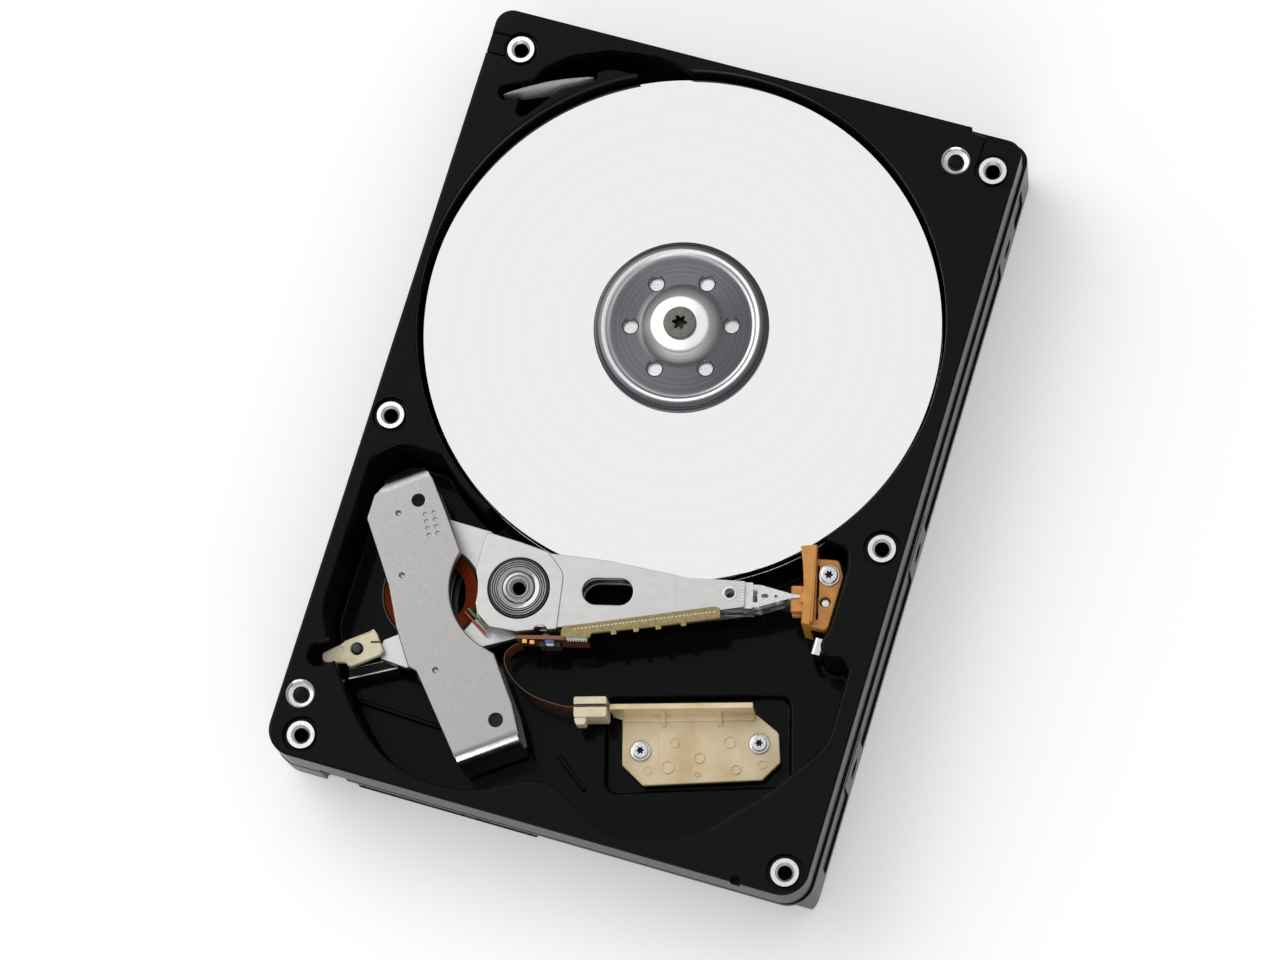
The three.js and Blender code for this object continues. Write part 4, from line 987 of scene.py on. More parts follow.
def upper_yoke():
    """The plate over the coil, with a flange folded down to the lower yoke at each end."""
    top = high("yoke_top").z
    deck = prism(yoke_outline(), top - YOKE_T, top, 0.12, 0.3)
    flange_bottom = high("yoke_bottom").z + 0.1
    flanges = (((-44, -21.4), 8.4, 1), ((-16.5, -65.7), 12.2, -1))
    for at, width, side in flanges:
        flange, corner = bent_flange(at, width, side, top, flange_bottom)
        deck = cut(join(deck, flange), corner)

    def painted_highlight_bends(corners):
        """The bends take the brighter spring look: painted highlight where they catch the light."""
        for at, width, side in flanges:
            away = [(point.x - at[0], point.y - at[1]) for point in corners]
            local = turned_points(away, -YOKE_EDGE, (0, 0))
            if all(0 < x < width and side * y > -1.5 for x, y in local):
                return True
        return False

    holes = [prism(circle((x, y), r, 40), top - 4, top, flare=0.12) for x, y, r in YOKE_HOLES]
    pit = [(0, top - 0.75), (0.42, top - 0.6, 0.1), (0.55, top), (0.6, top + 1), (0, top + 1)]
    pits = [lathe(pit, 24, at) for at in YOKE_PITS]
    solid = cut(deck, merged(*holes), merged(*pits), code_dimples())
    # The flange bends carry a painted highlight in the brighter spring look.
    add("upper_yoke", solid, "nickel", stands_for="yoke_top", second_look="spring",
        second_where=painted_highlight_bends)


def lower_yoke():
    bottom = low("yoke_bottom").z
    solid = prism(yoke_outline(), bottom, bottom + YOKE_T, 0.15, 0.3)
    # The lower yoke is nickel like the upper one; its darker grey look is painted shade.
    add("lower_yoke", solid, "nickel", "grey_screw_and_painted_shade", stands_for="yoke_bottom")


def motor_magnets():
    for node in ("magnet_bottom", "magnet_top"):
        solid = prism(sector(PIVOT, 13.2, 22.8, 172, 246, 40), *heights(node), 0.3, 0.3)
        add(node + "_block", solid, "magnet", stands_for=node)


def crash_stop():
    """Black damped bar in front of the latch; its folded edges are bright."""
    plan = [(-41.3, -55.9, 0.4), (-33.1, -51.4, 0.4), (-34.2, -49.5, 0.4), (-42, -53.8, 0.4)]
    bottom, top = heights("crash_stop")
    solid = prism(rounded(plan), bottom, top, 0.2, 0.3)
    groove = prism(capsule((-40.6, -54.4), (-34.6, -51.1), 0.32), top - 0.6, top, flare=0.12)
    add("damped_stop", cut(solid, groove), "rubber", stands_for="crash_stop")


def crash_stop_rims():
    top = high("crash_stop").z
    edges = [((-41.2, -55.6), (-33.3, -51.3)), ((-41.8, -53.9), (-34.4, -49.8))]
    for number, (start, end) in enumerate(edges, 1):
        rim = prism(capsule(start, end, 0.16, 6), top - 0.5, top + 0.12, 0.0, 0.06)
        add(f"stop_rim_{number}", rim, "nickel", "spring", body="base")


# ---------------------------------------------------------------- actuator

ARM_TIP = 40.8
ARM_T = 0.9
ARM_LEVELS = [15.3, 19.2, 23.1]
SWAGE_AT = (38.1, 0)        # where a suspension is swaged to its arm
SWAGE_R = 0.95
BLOCK_TOP = 24.2
COIL_BOTTOM, COIL_TOP = heights("voice_coil")
COIL_TILT = 1.2
COIL_WINDING = 2.4
COIL_BOND = 0.5             # width of the band of resin round the coil


def block_outline():
    return rounded([
        (-6.3, 10.3, 1), (0, 8.5, 1), (5.1, 6.8, 1.5), (8.1, 3, 3.5), (7.3, -7.3, 0.4), (5.6, -7.5)]
        + arc((4.3, -8), 1.3, 22, 158, 12)
        + [(3, -7.6), (-0.2, -8, 0.3), (-7, -7), (-7.9, -2, 0.5), (-7.9, 3, 0.5), (-7.2, 6.5, 0.5)], 6)


def arm_outline():
    return rounded([
        (0, 8.2), (5.1, 6.6, 1), (11.1, 6.0, 6), (16.4, 5.4, 12), (24.2, 3.9, 12), (30.5, 2.7, 8),
        (ARM_TIP, 2.3, 0.6), (ARM_TIP, -2.4, 0.6), (36.3, -3.1, 6), (7.3, -7), (0, -7)], 6)


def head_arm(bottom):
    """An arm, thinner beyond its machined step, with a chamfered slot and a swage hole."""
    top = bottom + ARM_T
    arm = prism(arm_outline(), bottom, top, 0.08, 0.12)
    slot_r = 2.45 if bottom == ARM_LEVELS[-1] else 3.0
    slot = prism(capsule((14, -0.2), (18.2, -0.2), slot_r, 16), bottom - 1, top, flare=0.22)
    swage = prism(circle(SWAGE_AT, SWAGE_R, 40), bottom - 1, top, flare=0.1)
    step = prism(rectangle(28.5, -8, 45, 8), top - 0.07, top + 1)
    return cut(arm, slot, swage, step)


def coil_fork():
    """The two arms of the fork round the coil; the lower one ends in the latch tail."""
    return prism(rounded([
        (0, 7), (-6.3, 11.6, 0.6), (-14.3, 13.7, 1), (-20.4, 15.2, 1), (-20.8, 8, 0.8), (-12, 0), (-20, -7),
        (-25, -9.2, 0.8), (-25.6, -12.5, 1), (-20.4, -14.2, 1), (-6.3, -9.9, 1), (-0.2, -8, 0.3), (0, -6.5)]),
        COIL_BOTTOM, COIL_TOP, 0.2, 0.2)


def carriage():
    body = prism(block_outline(), low("actuator_carriage").z, BLOCK_TOP, 0.2, 0.22)
    body = join(body, *[head_arm(level) for level in ARM_LEVELS], coil_fork())
    bore = prism(circle((0, 0), 5.6, 96), 10, BLOCK_TOP, flare=0.2)
    coil_bay = moved(prism(coil_outline(COIL_BOND + 0.05), 10, BLOCK_TOP, flare=0.15), turn=COIL_TILT)
    lead_slot = prism(capsule((-8.8, -4.3), (-5.6, -7.7), 0.75), COIL_TOP - 0.8, BLOCK_TOP, flare=0.12)
    shelf_plan = rounded([(-12, -3.2), (-8.2, -3.7), (-5.2, -8.4, 0.5), (-12, -12)])
    shelf = prism(shelf_plan, COIL_TOP + 0.05, BLOCK_TOP + 1)
    add("carriage", cut(body, bore, shelf, coil_bay, lead_slot), "machined", "aluminium",
        stands_for="actuator_carriage", **ON_ACTUATOR)


def bearing_sleeve():
    """Outer sleeve of the pivot bearing, with fine concentric lands; faces deeper than 0.15 mm below its top
    take the black rubber look as painted shade in the grooves.
    """
    bottom, top = heights("pivot_sleeve")
    profile = [(3.2, bottom), (5.45, bottom, 0.1)]
    for outer, inner, drop in ((5.45, 5.2, 0.3), (5.02, 4.82, 0.02), (4.6, 4.4, 0.1), (4.18, 4.0, 0.02)):
        land, groove = top - drop, top - drop - 0.22
        profile += [(outer, land, 0.06), (inner, land, 0.06), (inner - 0.03, groove), (inner - 0.15, groove)]
    profile += [(3.82, top - 0.1, 0.05), (2.98, top - 0.3, 0.05), (2.98, top - 1.2), (3.2, top - 1.2)]
    # Faces deeper than 0.15 mm below the top are painted black as shade.
    add("bearing_sleeve", lathe(profile, 96), "steel", stands_for="pivot_sleeve", at=PIVOT,
        second_look="rubber", second_where=lambda corners: below(corners, top - 0.15))


def bearing_shaft():
    """The bearing's fixed shaft, with a raised ring round its centre hole, whose walls take the black rubber
    look as painted shade.
    """
    def painted_shade_hole(corners):
        return all(math.hypot(point.x, point.y) < 1.12 and point.z > 13 for point in corners)

    foot, tip = heights("pivot_shaft")
    profile = [
        (0, foot), (5, foot, 0.2), (5, 12, 0.2), (2.9, 12.6), (2.9, tip - 0.35, 0.1), (2.72, tip - 0.1, 0.06),
        (2.2, tip - 0.05, 0.06), (2.1, tip - 0.25), (1.95, tip - 0.25), (1.85, tip, 0.05), (1.6, tip, 0.1),
        (1.1, tip - 0.5), (1.1, 14), (0, 13.6)]
    add("bearing_shaft", lathe(profile, 96), "steel", stands_for="pivot_shaft", at=PIVOT,
        second_look="rubber", second_where=painted_shade_hole)


def coil_outline(offset):
    inner, outer = -8 + offset, -25.2 - offset
    near, far = 7.7 + offset, 9.2 + offset
    return rounded([(inner, -near, 8 + offset), (inner, near, 8 + offset),
                    (outer, far, 8.3 + offset), (outer, -far, 8.3 + offset)], 20)


def wire_coil():
    """The wound band, its faces ridged by the layers of wire."""
    turns, samples, ridge = 8, 6, 0.16
    section = []
    for face, sign in ((COIL_TOP, 1), (COIL_BOTTOM, -1)):
        side = []
        for i in range(turns * samples + 1):
            dip = ridge * (0.5 - 0.5 * math.cos(2 * math.pi * i / samples + math.pi))
            side.append((-COIL_WINDING * (1 - i / (turns * samples)), face - sign * dip))
        section += side if sign < 0 else side[::-1]
    add("coil_winding", moved(band(coil_outline(0), section), turn=COIL_TILT), "copper",
        stands_for="voice_coil", sharp=60, **ON_ACTUATOR)


def coil_bonding():
    """The band of resin that bonds the winding to the fork."""
    resin = [(COIL_BOND, COIL_BOTTOM + 0.3), (COIL_BOND, COIL_TOP - 0.35), (COIL_BOND - 0.1, COIL_TOP - 0.2),
             (0.18, COIL_TOP - 0.2), (0.08, COIL_TOP - 0.3), (0.08, COIL_BOTTOM + 0.3)]
    add("coil_bonding", moved(band(coil_outline(0), resin), turn=COIL_TILT), "black_plastic", "rubber",
        stands_for="coil_frame", **ON_ACTUATOR)


def coil_leads():
    """The two lead wires that cross from the winding into the carriage's slot."""
    routes = {"green": [(-9.6, -3.0, 0.1), (-8.5, -4.2, 0.3), (-7.0, -5.6, 1.2), (-5.9, -6.9, 1.4)],
              "red": [(-10.2, -3.6, 0.1), (-9.0, -4.9, 0.3), (-7.5, -6.3, 0.8), (-6.2, -7.6, 0.9)]}
    for colour, route in routes.items():
        path = [(x, y, COIL_TOP + 0.15 + lift) for x, y, lift in curve_through(route, 8)]
        add(f"coil_lead_{colour}", tube_along(path, 0.24), "copper", f"{colour}_wire", **ON_ACTUATOR)


def suspension(number):
    """Swaged mount plate, hinge leaves, railed load beam, lift tab and slider."""
    node = f"suspension_{number}"
    outward = 1 if number % 2 else -1
    face = (low(node).z - 0.1) if outward > 0 else (high(node).z + 0.1)
    sheet = 0.2

    def level(*gaps):
        return sorted(face + outward * gap for gap in gaps)

    bottom, top = level(0.1, 0.1 + sheet)
    mount_plan = rounded([(35.4, -2.4, 0.3), (42.2, -2.5, 0.3), (42.2, 2.3, 0.3), (35.4, 2.3, 0.3)])
    mount = prism(mount_plan, bottom, top, 0.03, 0.03)
    mount = cut(mount, prism(circle(SWAGE_AT, SWAGE_R, 32), bottom - 1, top + 1))
    beam_plan = rounded([(43.0, -2.2, 0.2), (49.0, -0.42, 0.5), (50.8, -0.22, 0.15), (50.8, 0.22, 0.15),
                         (49.0, 0.42, 0.5), (43.0, 1.95, 0.2)])
    beam = prism(beam_plan, bottom, top, 0.03, 0.03)
    holes = [prism(circle((46.3, -0.1), 0.3, 24), bottom - 1, top + 1),
             prism(capsule((44.0, -0.1), (44.6, -0.1), 0.35), bottom - 1, top + 1)]
    beam = cut(beam, *holes)
    leaves = [prism(rectangle(41.9, y, 43.4, y + 0.9, 0.1), bottom + 0.04, top - 0.04) for y in (-2.2, 1.0)]
    low_rail, high_rail = level(0.1, 0.42)
    rails = [prism(capsule((43.6, sign * 1.85 - 0.1), (48.6, sign * 0.42), 0.1, 4), low_rail, high_rail)
             for sign in (-1, 1)]
    slider_low, slider_high = level(0.31, 0.65)
    slider = block(47.3, -0.45, slider_low, 48.4, 0.45, slider_high, 0.04, 0.05)
    solid = join(beam, mount, *leaves, *rails)
    add(node + "_leaf", solid, "steel", "spring", stands_for=node, **ON_ACTUATOR)
    add(node + "_slider", slider, "chip", **ON_ACTUATOR)


def top_arm_details():
    """Swage ring and hinge teeth that show on the uppermost arm."""
    top = ARM_LEVELS[2] + ARM_T - 0.07
    ring = lathe([(0.84, top - 0.5), (SWAGE_R, top - 0.5), (SWAGE_R, top), (1.35, top, 0.05),
                  (1.35, top + 0.12, 0.05), (0.9, top + 0.12, 0.05), (0.84, top)], 48, SWAGE_AT)
    teeth = [block(40.25, -1.9 + 0.55 * i, top - 0.02, 40.75, -1.6 + 0.55 * i, top + 0.1, 0.03)
             for i in range(8)]
    add("swage_ring", ring, "steel", "spring", sharp=40, **ON_ACTUATOR)
    add("hinge_teeth", merged(*teeth), "steel", "spring", **ON_ACTUATOR)


# ---------------------------------------------------------------- head wiring

STRIP_OUTSIDE = [(36.6, -4.5, 0.2), (25, -6.35), (13.5, -7.9, 0.3), (13.2, -8.7, 0.3), (8, -8.7, 0.4)]
STRIP_FACE = ARM_LEVELS[-1] + ARM_T + 0.02


def wire_strip():
    """Printed strip that carries the head wires along the edge of the top arm."""
    plan = rounded([(8.2, -7.3), (20, -5.75), (36.4, -3.5)] + STRIP_OUTSIDE)
    edge = prism(plan, *heights("trace_tail"), 0.05, 0.05)
    add("wire_strip", edge, "traces", stands_for="trace_tail", **ON_ACTUATOR)


def strip_film():
    """The strip's film lies over the arm, between two raised tracks and with small tabs."""
    face = STRIP_FACE
    plan = rounded([(8.2, -6.9, 0.3), (35.4, -2.5, 0.2), (36.4, -2.7, 0.2)] + STRIP_OUTSIDE)
    film = prism(plan, face, face + 0.07)
    rails = [prism(capsule(start, end, 0.14, 4), face + 0.05, face + 0.2, 0.0, 0.06)
             for start, end in (((8.6, -7.1), (35.6, -2.75)), ((13.9, -7.65), (36.2, -4.2)))]
    tabs = [moved(block(-0.5, -0.7, face, 0.5, 0.2, face + 0.12, 0.05, 0.1), at, 9)
            for at in ((17.5, -7.4), (21.5, -6.8), (25.5, -6.25), (30, -5.5))]
    add("strip_film", join(film, *rails, *tabs), "traces", "traces", **ON_ACTUATOR)


def strip_pads():
    first, last, count = Vector((10.5, -7.25)), Vector((35.4, -3.5)), 38
    pad = block(-0.2, -0.09, STRIP_FACE + 0.05, 0.2, 0.09, STRIP_FACE + 0.13, 0.03)
    pads = [moved(pad, first.lerp(last, i / (count - 1)), 9) for i in range(count)]
    add("strip_pads", merged(*pads), "traces", "tin", **ON_ACTUATOR)


def actuator_flex():
    """Stiffened end of the cable, and the preamplifier on it."""
    bottom, top = heights("actuator_flex")
    board = block(-0.4, -8.9, bottom, 12.6, -8.2, top, 0.08, 0.15)
    add("flex_board", board, "polyimide", stands_for="actuator_flex", **ON_ACTUATOR)
    chip_low, chip_high = heights("preamp_chip")
    add("preamplifier", block(3.8, -9.9, chip_low, 7.6, -9, chip_high, 0.1, 0.1), "chip",
        stands_for="preamp_chip", **ON_ACTUATOR)


def flex_parts():
    """The small parts beside the preamplifier, and the comb of solder joints."""
    top = high("actuator_flex").z
    capacitors = [block(x, -9.75, level - 1.6, x + 0.9, -8.95, level, 0.1, 0.12)
                  for x, level in ((0.9, top), (2.2, top - 0.5))]
    inductor = block(5.0, -9.6, top - 0.7, 6.7, -8.95, top + 0.15, 0.15, 0.25)
    white_capacitor = block(5.2, -9.95, top - 1.3, 6.6, -9.3, top - 0.5, 0.15, 0.2)
    comb = block(8.9, -9.0, top - 0.4, 12.7, -8.0, top + 0.65, 0.12, 0.15)
    teeth = [block(9.2 + 0.46 * i, -9.3, top - 1.2, 9.4 + 0.46 * i, -8.9, top + 0.4, 0.04) for i in range(8)]
    for name, solid, slot, look in (
            ("flex_capacitors", merged(*capacitors), "copper", "gold"),
            ("flex_inductor", inductor, "chip", "blue_part"),
            ("flex_cap_white", white_capacitor, "chip", "white_part"),
            ("comb_block", comb, "traces", "white_part"),
            ("comb_joints", merged(*teeth), "copper", "tin")):
        add(name, solid, slot, look, **ON_ACTUATOR)


def flexible_cable():
    """The ribbon from the actuator to its clamp, swept once along a fixed curve past the pivot."""
    on_actuator = [(0.3, -9.05), (-0.7, -9.35), (-1.6, -10), (-2.6, -11.5), (-2, -14), (0.3, -16.9),
                   (3.6, -19)]
    at_clamp = [(-7.4, -0.9), (-5, -0.75), (-0.3, -0.75)]
    route = turned_points(on_actuator, PARK_ANGLE, PIVOT) + turned_points(at_clamp, BRACKET_ANGLE, BRACKET_AT)
    path = [(x, y, 0) for x, y in curve_through(route, 14)]
    bottom, top = heights("flex_cable")
    rows = [bottom + (top - bottom) * i / 18 for i in range(19)]
    section = [(-0.07, z) for z in rows] + [(0.07, z) for z in rows[::-1]]
    obj = new_object("cable_ribbon", swept(path, section), "polyimide", 50)
    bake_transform(obj)
    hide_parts("flex_cable")


BRACKET_SCREWS = [(5.4, -7.7), (26.9, -6.6)]
EJECTOR_RINGS = [           # (x, y, radius) on the bracket
    (10.3, -10.6, 1.2), (16, -9.0, 1.0), (15.6, -12.0, 0.5), (21.5, -6.2, 1.1), (22.6, -11.2, 0.9),
    (11.6, -6.2, 0.9), (6.6, -11.2, 0.8), (27.4, -10.4, 0.8)]


def flex_bracket():
    """Moulded plate with a standing lip and its gussets, a shallow frame and round ejector rings."""
    bottom = low("flex_bracket").z
    top = bottom + 1.4
    plan = rounded([(0.3, -1.2), (2, -1.8, 0.5), (2, -10.2, 0.8), (5.8, -14, 0.8), (27.4, -13.2, 0.8),
                    (30.7, -10, 0.8), (30.4, -4.6, 1), (26.4, -1.2)])
    plate = prism(plan, bottom, top, 0.15, 0.25)
    lip = block(0.3, -1.2, bottom, 26.2, -0.2, 17.6, 0.15, 0.2)
    foot = prism(rectangle(2.2, -2.4, 26.2, -0.9, 0.4), bottom, top + 0.7, 0.1, 0.4)
    gusset = [(-3.6, top - 0.1), (-1, top - 0.1), (-1, top + 4)]
    gussets = [facing_x(prism(gusset, x, x + 0.8)) for x in (9.2, 19.4)]
    panel = prism(rectangle(8.6, -12.6, 24.2, -3.4, 1.5), top - 0.1, top, flare=0.1)
    holes = merged(*[prism(circle(at, 1.15, 32), 5, 20) for at in BRACKET_SCREWS])
    seats = merged(*[prism(circle(at, 2.0, 40), top - 0.15, top, flare=0.08) for at in BRACKET_SCREWS])
    solid = cut(join(plate, lip, foot, *gussets), panel, holes, seats)
    rings = []
    for x, y, r in EJECTOR_RINGS:
        section = [(r - 0.16, top - 0.3), (r, top - 0.3), (r, top + 0.14, 0.05), (r - 0.16, top + 0.14, 0.05)]
        rings.append(lathe(section, 32, (x, y)))
    add("cable_bracket", join(solid, merged(*rings)), "bracket", stands_for="flex_bracket", **ON_BRACKET)


def bracket_screws():
    head_r = 1.45
    seat = low("flex_bracket").z + 1.35
    for node, local in zip(("bracket_screw_left", "bracket_screw_right"), BRACKET_SCREWS):
        at = turned_points([local], BRACKET_ANGLE, BRACKET_AT)[0]
        solid = screw_solid(head_r, seat, high(node).z, 1, low(node).z, 0.2, flange=0.35)
        add_screw(node, node + "_torx", solid, "screw", head_r, at, 20)


def flex_clamp():
    bottom, top = heights("flex_clamp")
    body = block(-6, -2.9, bottom, 0, 0.9, top, 0.25, 0.4)
    slot = block(-7, -1.05, 13.2, 1, -0.45, 20)
    hook_plan = rounded([(-6.0, -2.9, 0.3), (-3.6, -2.9, 0.3), (-3.9, -4.2, 0.4), (-5.6, -4.2, 0.4)])
    hook = prism(hook_plan, 15.5, top - 0.3, 0.2, 0.2)
    solid = cut(join(body, hook), slot)
    add("cable_clamp", solid, "ivory", stands_for="flex_clamp", **ON_BRACKET)


def head_connector():
    bottom, top = heights("head_connector")
    body = block(8.4, -6.2, bottom, 23.6, -3, top, 0.2, 0.3)
    add("board_connector", body, "black_plastic", stands_for="head_connector", **ON_BRACKET)


# ---------------------------------------------------------------- latch and ramp


def latch():
    bottom, top = heights("latch")
    plan = rounded([
        (-45.6, -54.9, 0.9), (-46.3, -53.3, 0.9), (-43.5, -50.9, 0.4), (-42.8, -49.9, 0.3), (-39, -47, 0.4),
        (-38.5, -46.4, 0.3), (-37.6, -47.1, 0.3), (-35.5, -49.8, 0.4), (-36, -50.8, 0.4), (-40.6, -54.4, 0.5),
        (-41.6, -53.8, 0.3)])
    plan = [(x - LATCH_POST[0], y - LATCH_POST[1]) for x, y in plan]
    slit = prism(capsule((2.2, 1.9), (4.7, 2.7), 0.2, 6), bottom - 1, top + 1)
    recess = prism(rectangle(-3.6, -1.6, -2.2, -0.4, 0.3), top - 0.3, top, flare=0.1)
    hole = prism(circle((0, 0), 1.15, 40), bottom - 1, top, flare=0.15)
    solid = cut(prism(plan, bottom, top, 0.2, 0.3), hole, slit, recess)
    add("shipping_latch", solid, "ivory", stands_for="latch", at=LATCH_POST)


def latch_post():
    foot, tip = heights("latch_post")
    shoulder = low("latch").z - 0.2
    post = lathe([(0, foot), (1.7, foot, 0.2), (1.7, shoulder, 0.2), (0.85, shoulder), (0.85, tip, 0.2),
                  (0, tip)], 48)
    # The steel post takes the black rubber look: painted shade, so it reads as a dark hole in the latch.
    add("latch_pivot", post, "steel", "rubber", stands_for="latch_post", at=LATCH_POST)


RAMP_SCREW = (38.3, -15.1)
RAMP_DOWEL = (38.9, -19.9)
SHELVES = [(16.75, 18.65), (20.65, 22.55)]


def load_ramp():
    """Comb with shelves for the lift tabs, and a screwed foot with a dowel hole."""
    bottom, top = heights("load_ramp")
    comb = rounded(arc((0, 0), 51.3, -5.6, 10.2, 24) + [(53.4, 9.4, 0.2), (53.1, 3), (52.6, -5.4, 0.2)], 5)
    foot = rounded([(52.2, 7.3), (57.4, 7, 1), (58.2, 4, 1), (55.7, -6, 0.8), (52, -5.1)])
    solid = prism(comb, bottom, top, 0.1, 0.15)
    solid = join(solid, prism(foot, 18.8, 22.0, 0.1, 0.3))
    ridge_plan = rounded([(52.5, -4.9, 0.1), (53.1, -4.7, 0.1), (53.5, 9.2, 0.1), (52.9, 9.3, 0.1)])
    ridge = prism(ridge_plan, 20, top - 0.02, 0, 0.15)
    shelves = [prism(rectangle(49, -2.7, 51.9, 2, 0.15), *levels, 0.15, 0.2) for levels in SHELVES]
    steps = [prism(rectangle(50.6, -1.2, 52.2, 0.6, 0.1), levels[1] - 0.2, levels[1] + 1.1, 0.1, 0.15)
             for levels in SHELVES]
    solid = join(solid, ridge, *shelves, *steps)
    slit = block(53.5, -4, 17, 53.95, 6.0, 30)
    solid = moved(cut(solid, slit), PIVOT, PARK_ANGLE)
    notches = [prism(circle(SPINDLE, 48.2, 160), levels[0] - 0.1, levels[1] + 0.1) for levels in SHELVES]
    holes = [prism(circle(RAMP_SCREW, 1.2, 40), 14, 22, flare=0.1),
             prism(circle(RAMP_DOWEL, 1.0, 40), 18, 22, flare=0.1)]
    posts = merged(*[prism(circle(at, 2.0, 40), bottom, 19.2) for at in (RAMP_SCREW, RAMP_DOWEL)])
    solid = cut(join(solid, posts), *notches, *holes)
    add("parking_ramp", solid, "ramp", stands_for="load_ramp")


def ramp_fasteners():
    """The ramp's screw, and the dowel that stands in its second hole."""
    head_top = high("ramp_screw").z
    head_r = 1.6
    screw = screw_solid(head_r, head_top - 1.0, head_top, 1, low("ramp_screw").z, flange=0.3)
    add_screw("ramp_screw", "ramp_torx", screw, "screw", head_r, RAMP_SCREW, 10)
    dowel = lathe([(0, 14.5), (0.9, 14.5), (0.9, 20.9, 0.3), (0, 20.9)], 40)
    add("ramp_dowel", dowel, "screw", "spring", body="base", at=RAMP_DOWEL)


def ramp_tab():
    """Spring strip that holds the ramp's foot: an upright leaf with a bent end."""
    lo, hi = low("ramp_tab"), high("ramp_tab")
    sheet, bend = 0.45, 0.8
    axis = (lo.x + bend, hi.z - bend)
    outer = [(lo.x, lo.z)] + arc(axis, bend, 180, 90, 6) + [(hi.x, hi.z)]
    inner = [(hi.x, hi.z - sheet)] + arc(axis, bend - sheet, 90, 180, 6) + [(lo.x + sheet, lo.z)]
    leaf = facing_y(prism(outer + inner, lo.y, hi.y))
    add("ramp_spring", leaf, "nickel", "spring", stands_for="ramp_tab")


# ---------------------------------------------------------------- circuit board

BOARD_BOTTOM, BOARD_TOP = heights("circuit_board")
PART_ROWS = [               # (x, y) of the first small part, how many, and whether they run along Y
    (-30, -60, 9, False), (-31, -22, 8, False), (27, -58, 6, False), (30, -34, 7, True),
    (-24, -36, 6, True), (12, -58, 6, False)]


def circuit_board():
    x = high("circuit_board").x
    plan = rounded([
        (-36.1, -71.4, 0.3), (37.7, -71.4, 0.3), (37.7, -65.7), (x, -65.7, 4), (x, -8, 3), (22, -8, 2),
        (14, 0, 2), (-14, 0, 2), (-22, -8, 2), (-x, -8, 3), (-x, -65.7, 4), (-36.1, -65.7)], 5)
    holes = merged(*[prism(circle(at, 1.4, 32), 0, 4) for at in BOARD_SCREWS])
    solid = cut(prism(plan, BOARD_BOTTOM, BOARD_TOP, 0.06, 0.06), holes)
    add("main_board", solid, "board", stands_for="circuit_board")


def board_pads():
    """Screw lands, scattered test pads and a row of edge pads on the board's open side."""
    face = BOARD_BOTTOM
    lands = [lathe([(1.45, face - 0.03), (3.1, face - 0.03), (3.1, face + 0.05), (1.45, face + 0.05)], 40, at)
             for at in BOARD_SCREWS]
    test_pads = []
    for i in range(60):
        at = (random.uniform(-40, 40), random.uniform(-63, -6))
        clear = all(math.dist(at, screw) > 4.5 for screw in BOARD_SCREWS)
        if clear and abs(at[0]) + abs(at[1] + 10) > 12:
            test_pads.append(prism(circle(at, 0.5, 16), face - 0.03, face + 0.05))
    pad_edges = [-34.6 + 1.27 * i for i in range(26)]
    edge_pads = [block(x, -69.6, face - 0.03, x + 0.8, -66.9, face + 0.05) for x in pad_edges]
    add("board_pads", merged(*lands, *test_pads, *edge_pads), "screw", "tin", body="base")


def board_small_parts():
    """Rows of small ceramic parts with tinned ends on the board's open side."""
    bodies, ends = [], []
    bottom, top = BOARD_BOTTOM - 0.5, BOARD_BOTTOM + 0.02
    for x0, y0, count, upright in PART_ROWS:
        for i in range(count):
            cx, cy = (x0, y0 + 2.1 * i) if upright else (x0 + 2.3 * i, y0)
            bodies.append(block(cx - 0.5, cy - 0.42, bottom, cx + 0.5, cy + 0.42, top, 0.06, 0.05))
            for side in (-1, 1):
                x_in, x_out = sorted((cx + side * 0.52, cx + side * 0.85))
                ends.append(block(x_in, cy - 0.43, bottom - 0.01, x_out, cy + 0.43, top, 0.06, 0.05))
    add("board_small_parts", merged(*bodies), "chip", "ceramic", body="base")
    add("board_part_ends", merged(*ends), "screw", "tin", body="base")


def packaged_chip(name, node, pins_per_side):
    """A moulded package with a pin-one dimple and bent leads on all four sides."""
    lo, hi = low(node), high(node)
    body = block(lo.x, lo.y, lo.z + 0.1, hi.x, hi.y, hi.z, 0.12, 0.25)
    dimple = lathe([(0, hi.z - 0.12), (0.5, hi.z - 0.12), (0.55, hi.z + 1), (0, hi.z + 1)], 24,
                   (lo.x + 1.4, lo.y + 1.4))
    add(name, cut(body, dimple), "chip", stands_for=node)
    leads = []
    for axis, sign in ((0, -1), (0, 1), (1, -1), (1, 1)):
        span = (hi.y - lo.y if axis == 0 else hi.x - lo.x) - 1.6
        for i in range(pins_per_side):
            along = (lo.y if axis == 0 else lo.x) + 0.8 + span * (i + 0.5) / pins_per_side
            edge = (lo, hi)[sign > 0][axis]
            ends = sorted((edge + sign * 0.02, edge + sign * 0.9))
            sides = (along - 0.11, along + 0.11)
            (x0, x1), (y0, y1) = (ends, sides) if axis == 0 else (sides, ends)
            leads.append(block(x0, y0, BOARD_TOP, x1, y1, BOARD_TOP + 0.25, 0.03))
    add(name + "_leads", merged(*leads), "screw", "tin", body="base")


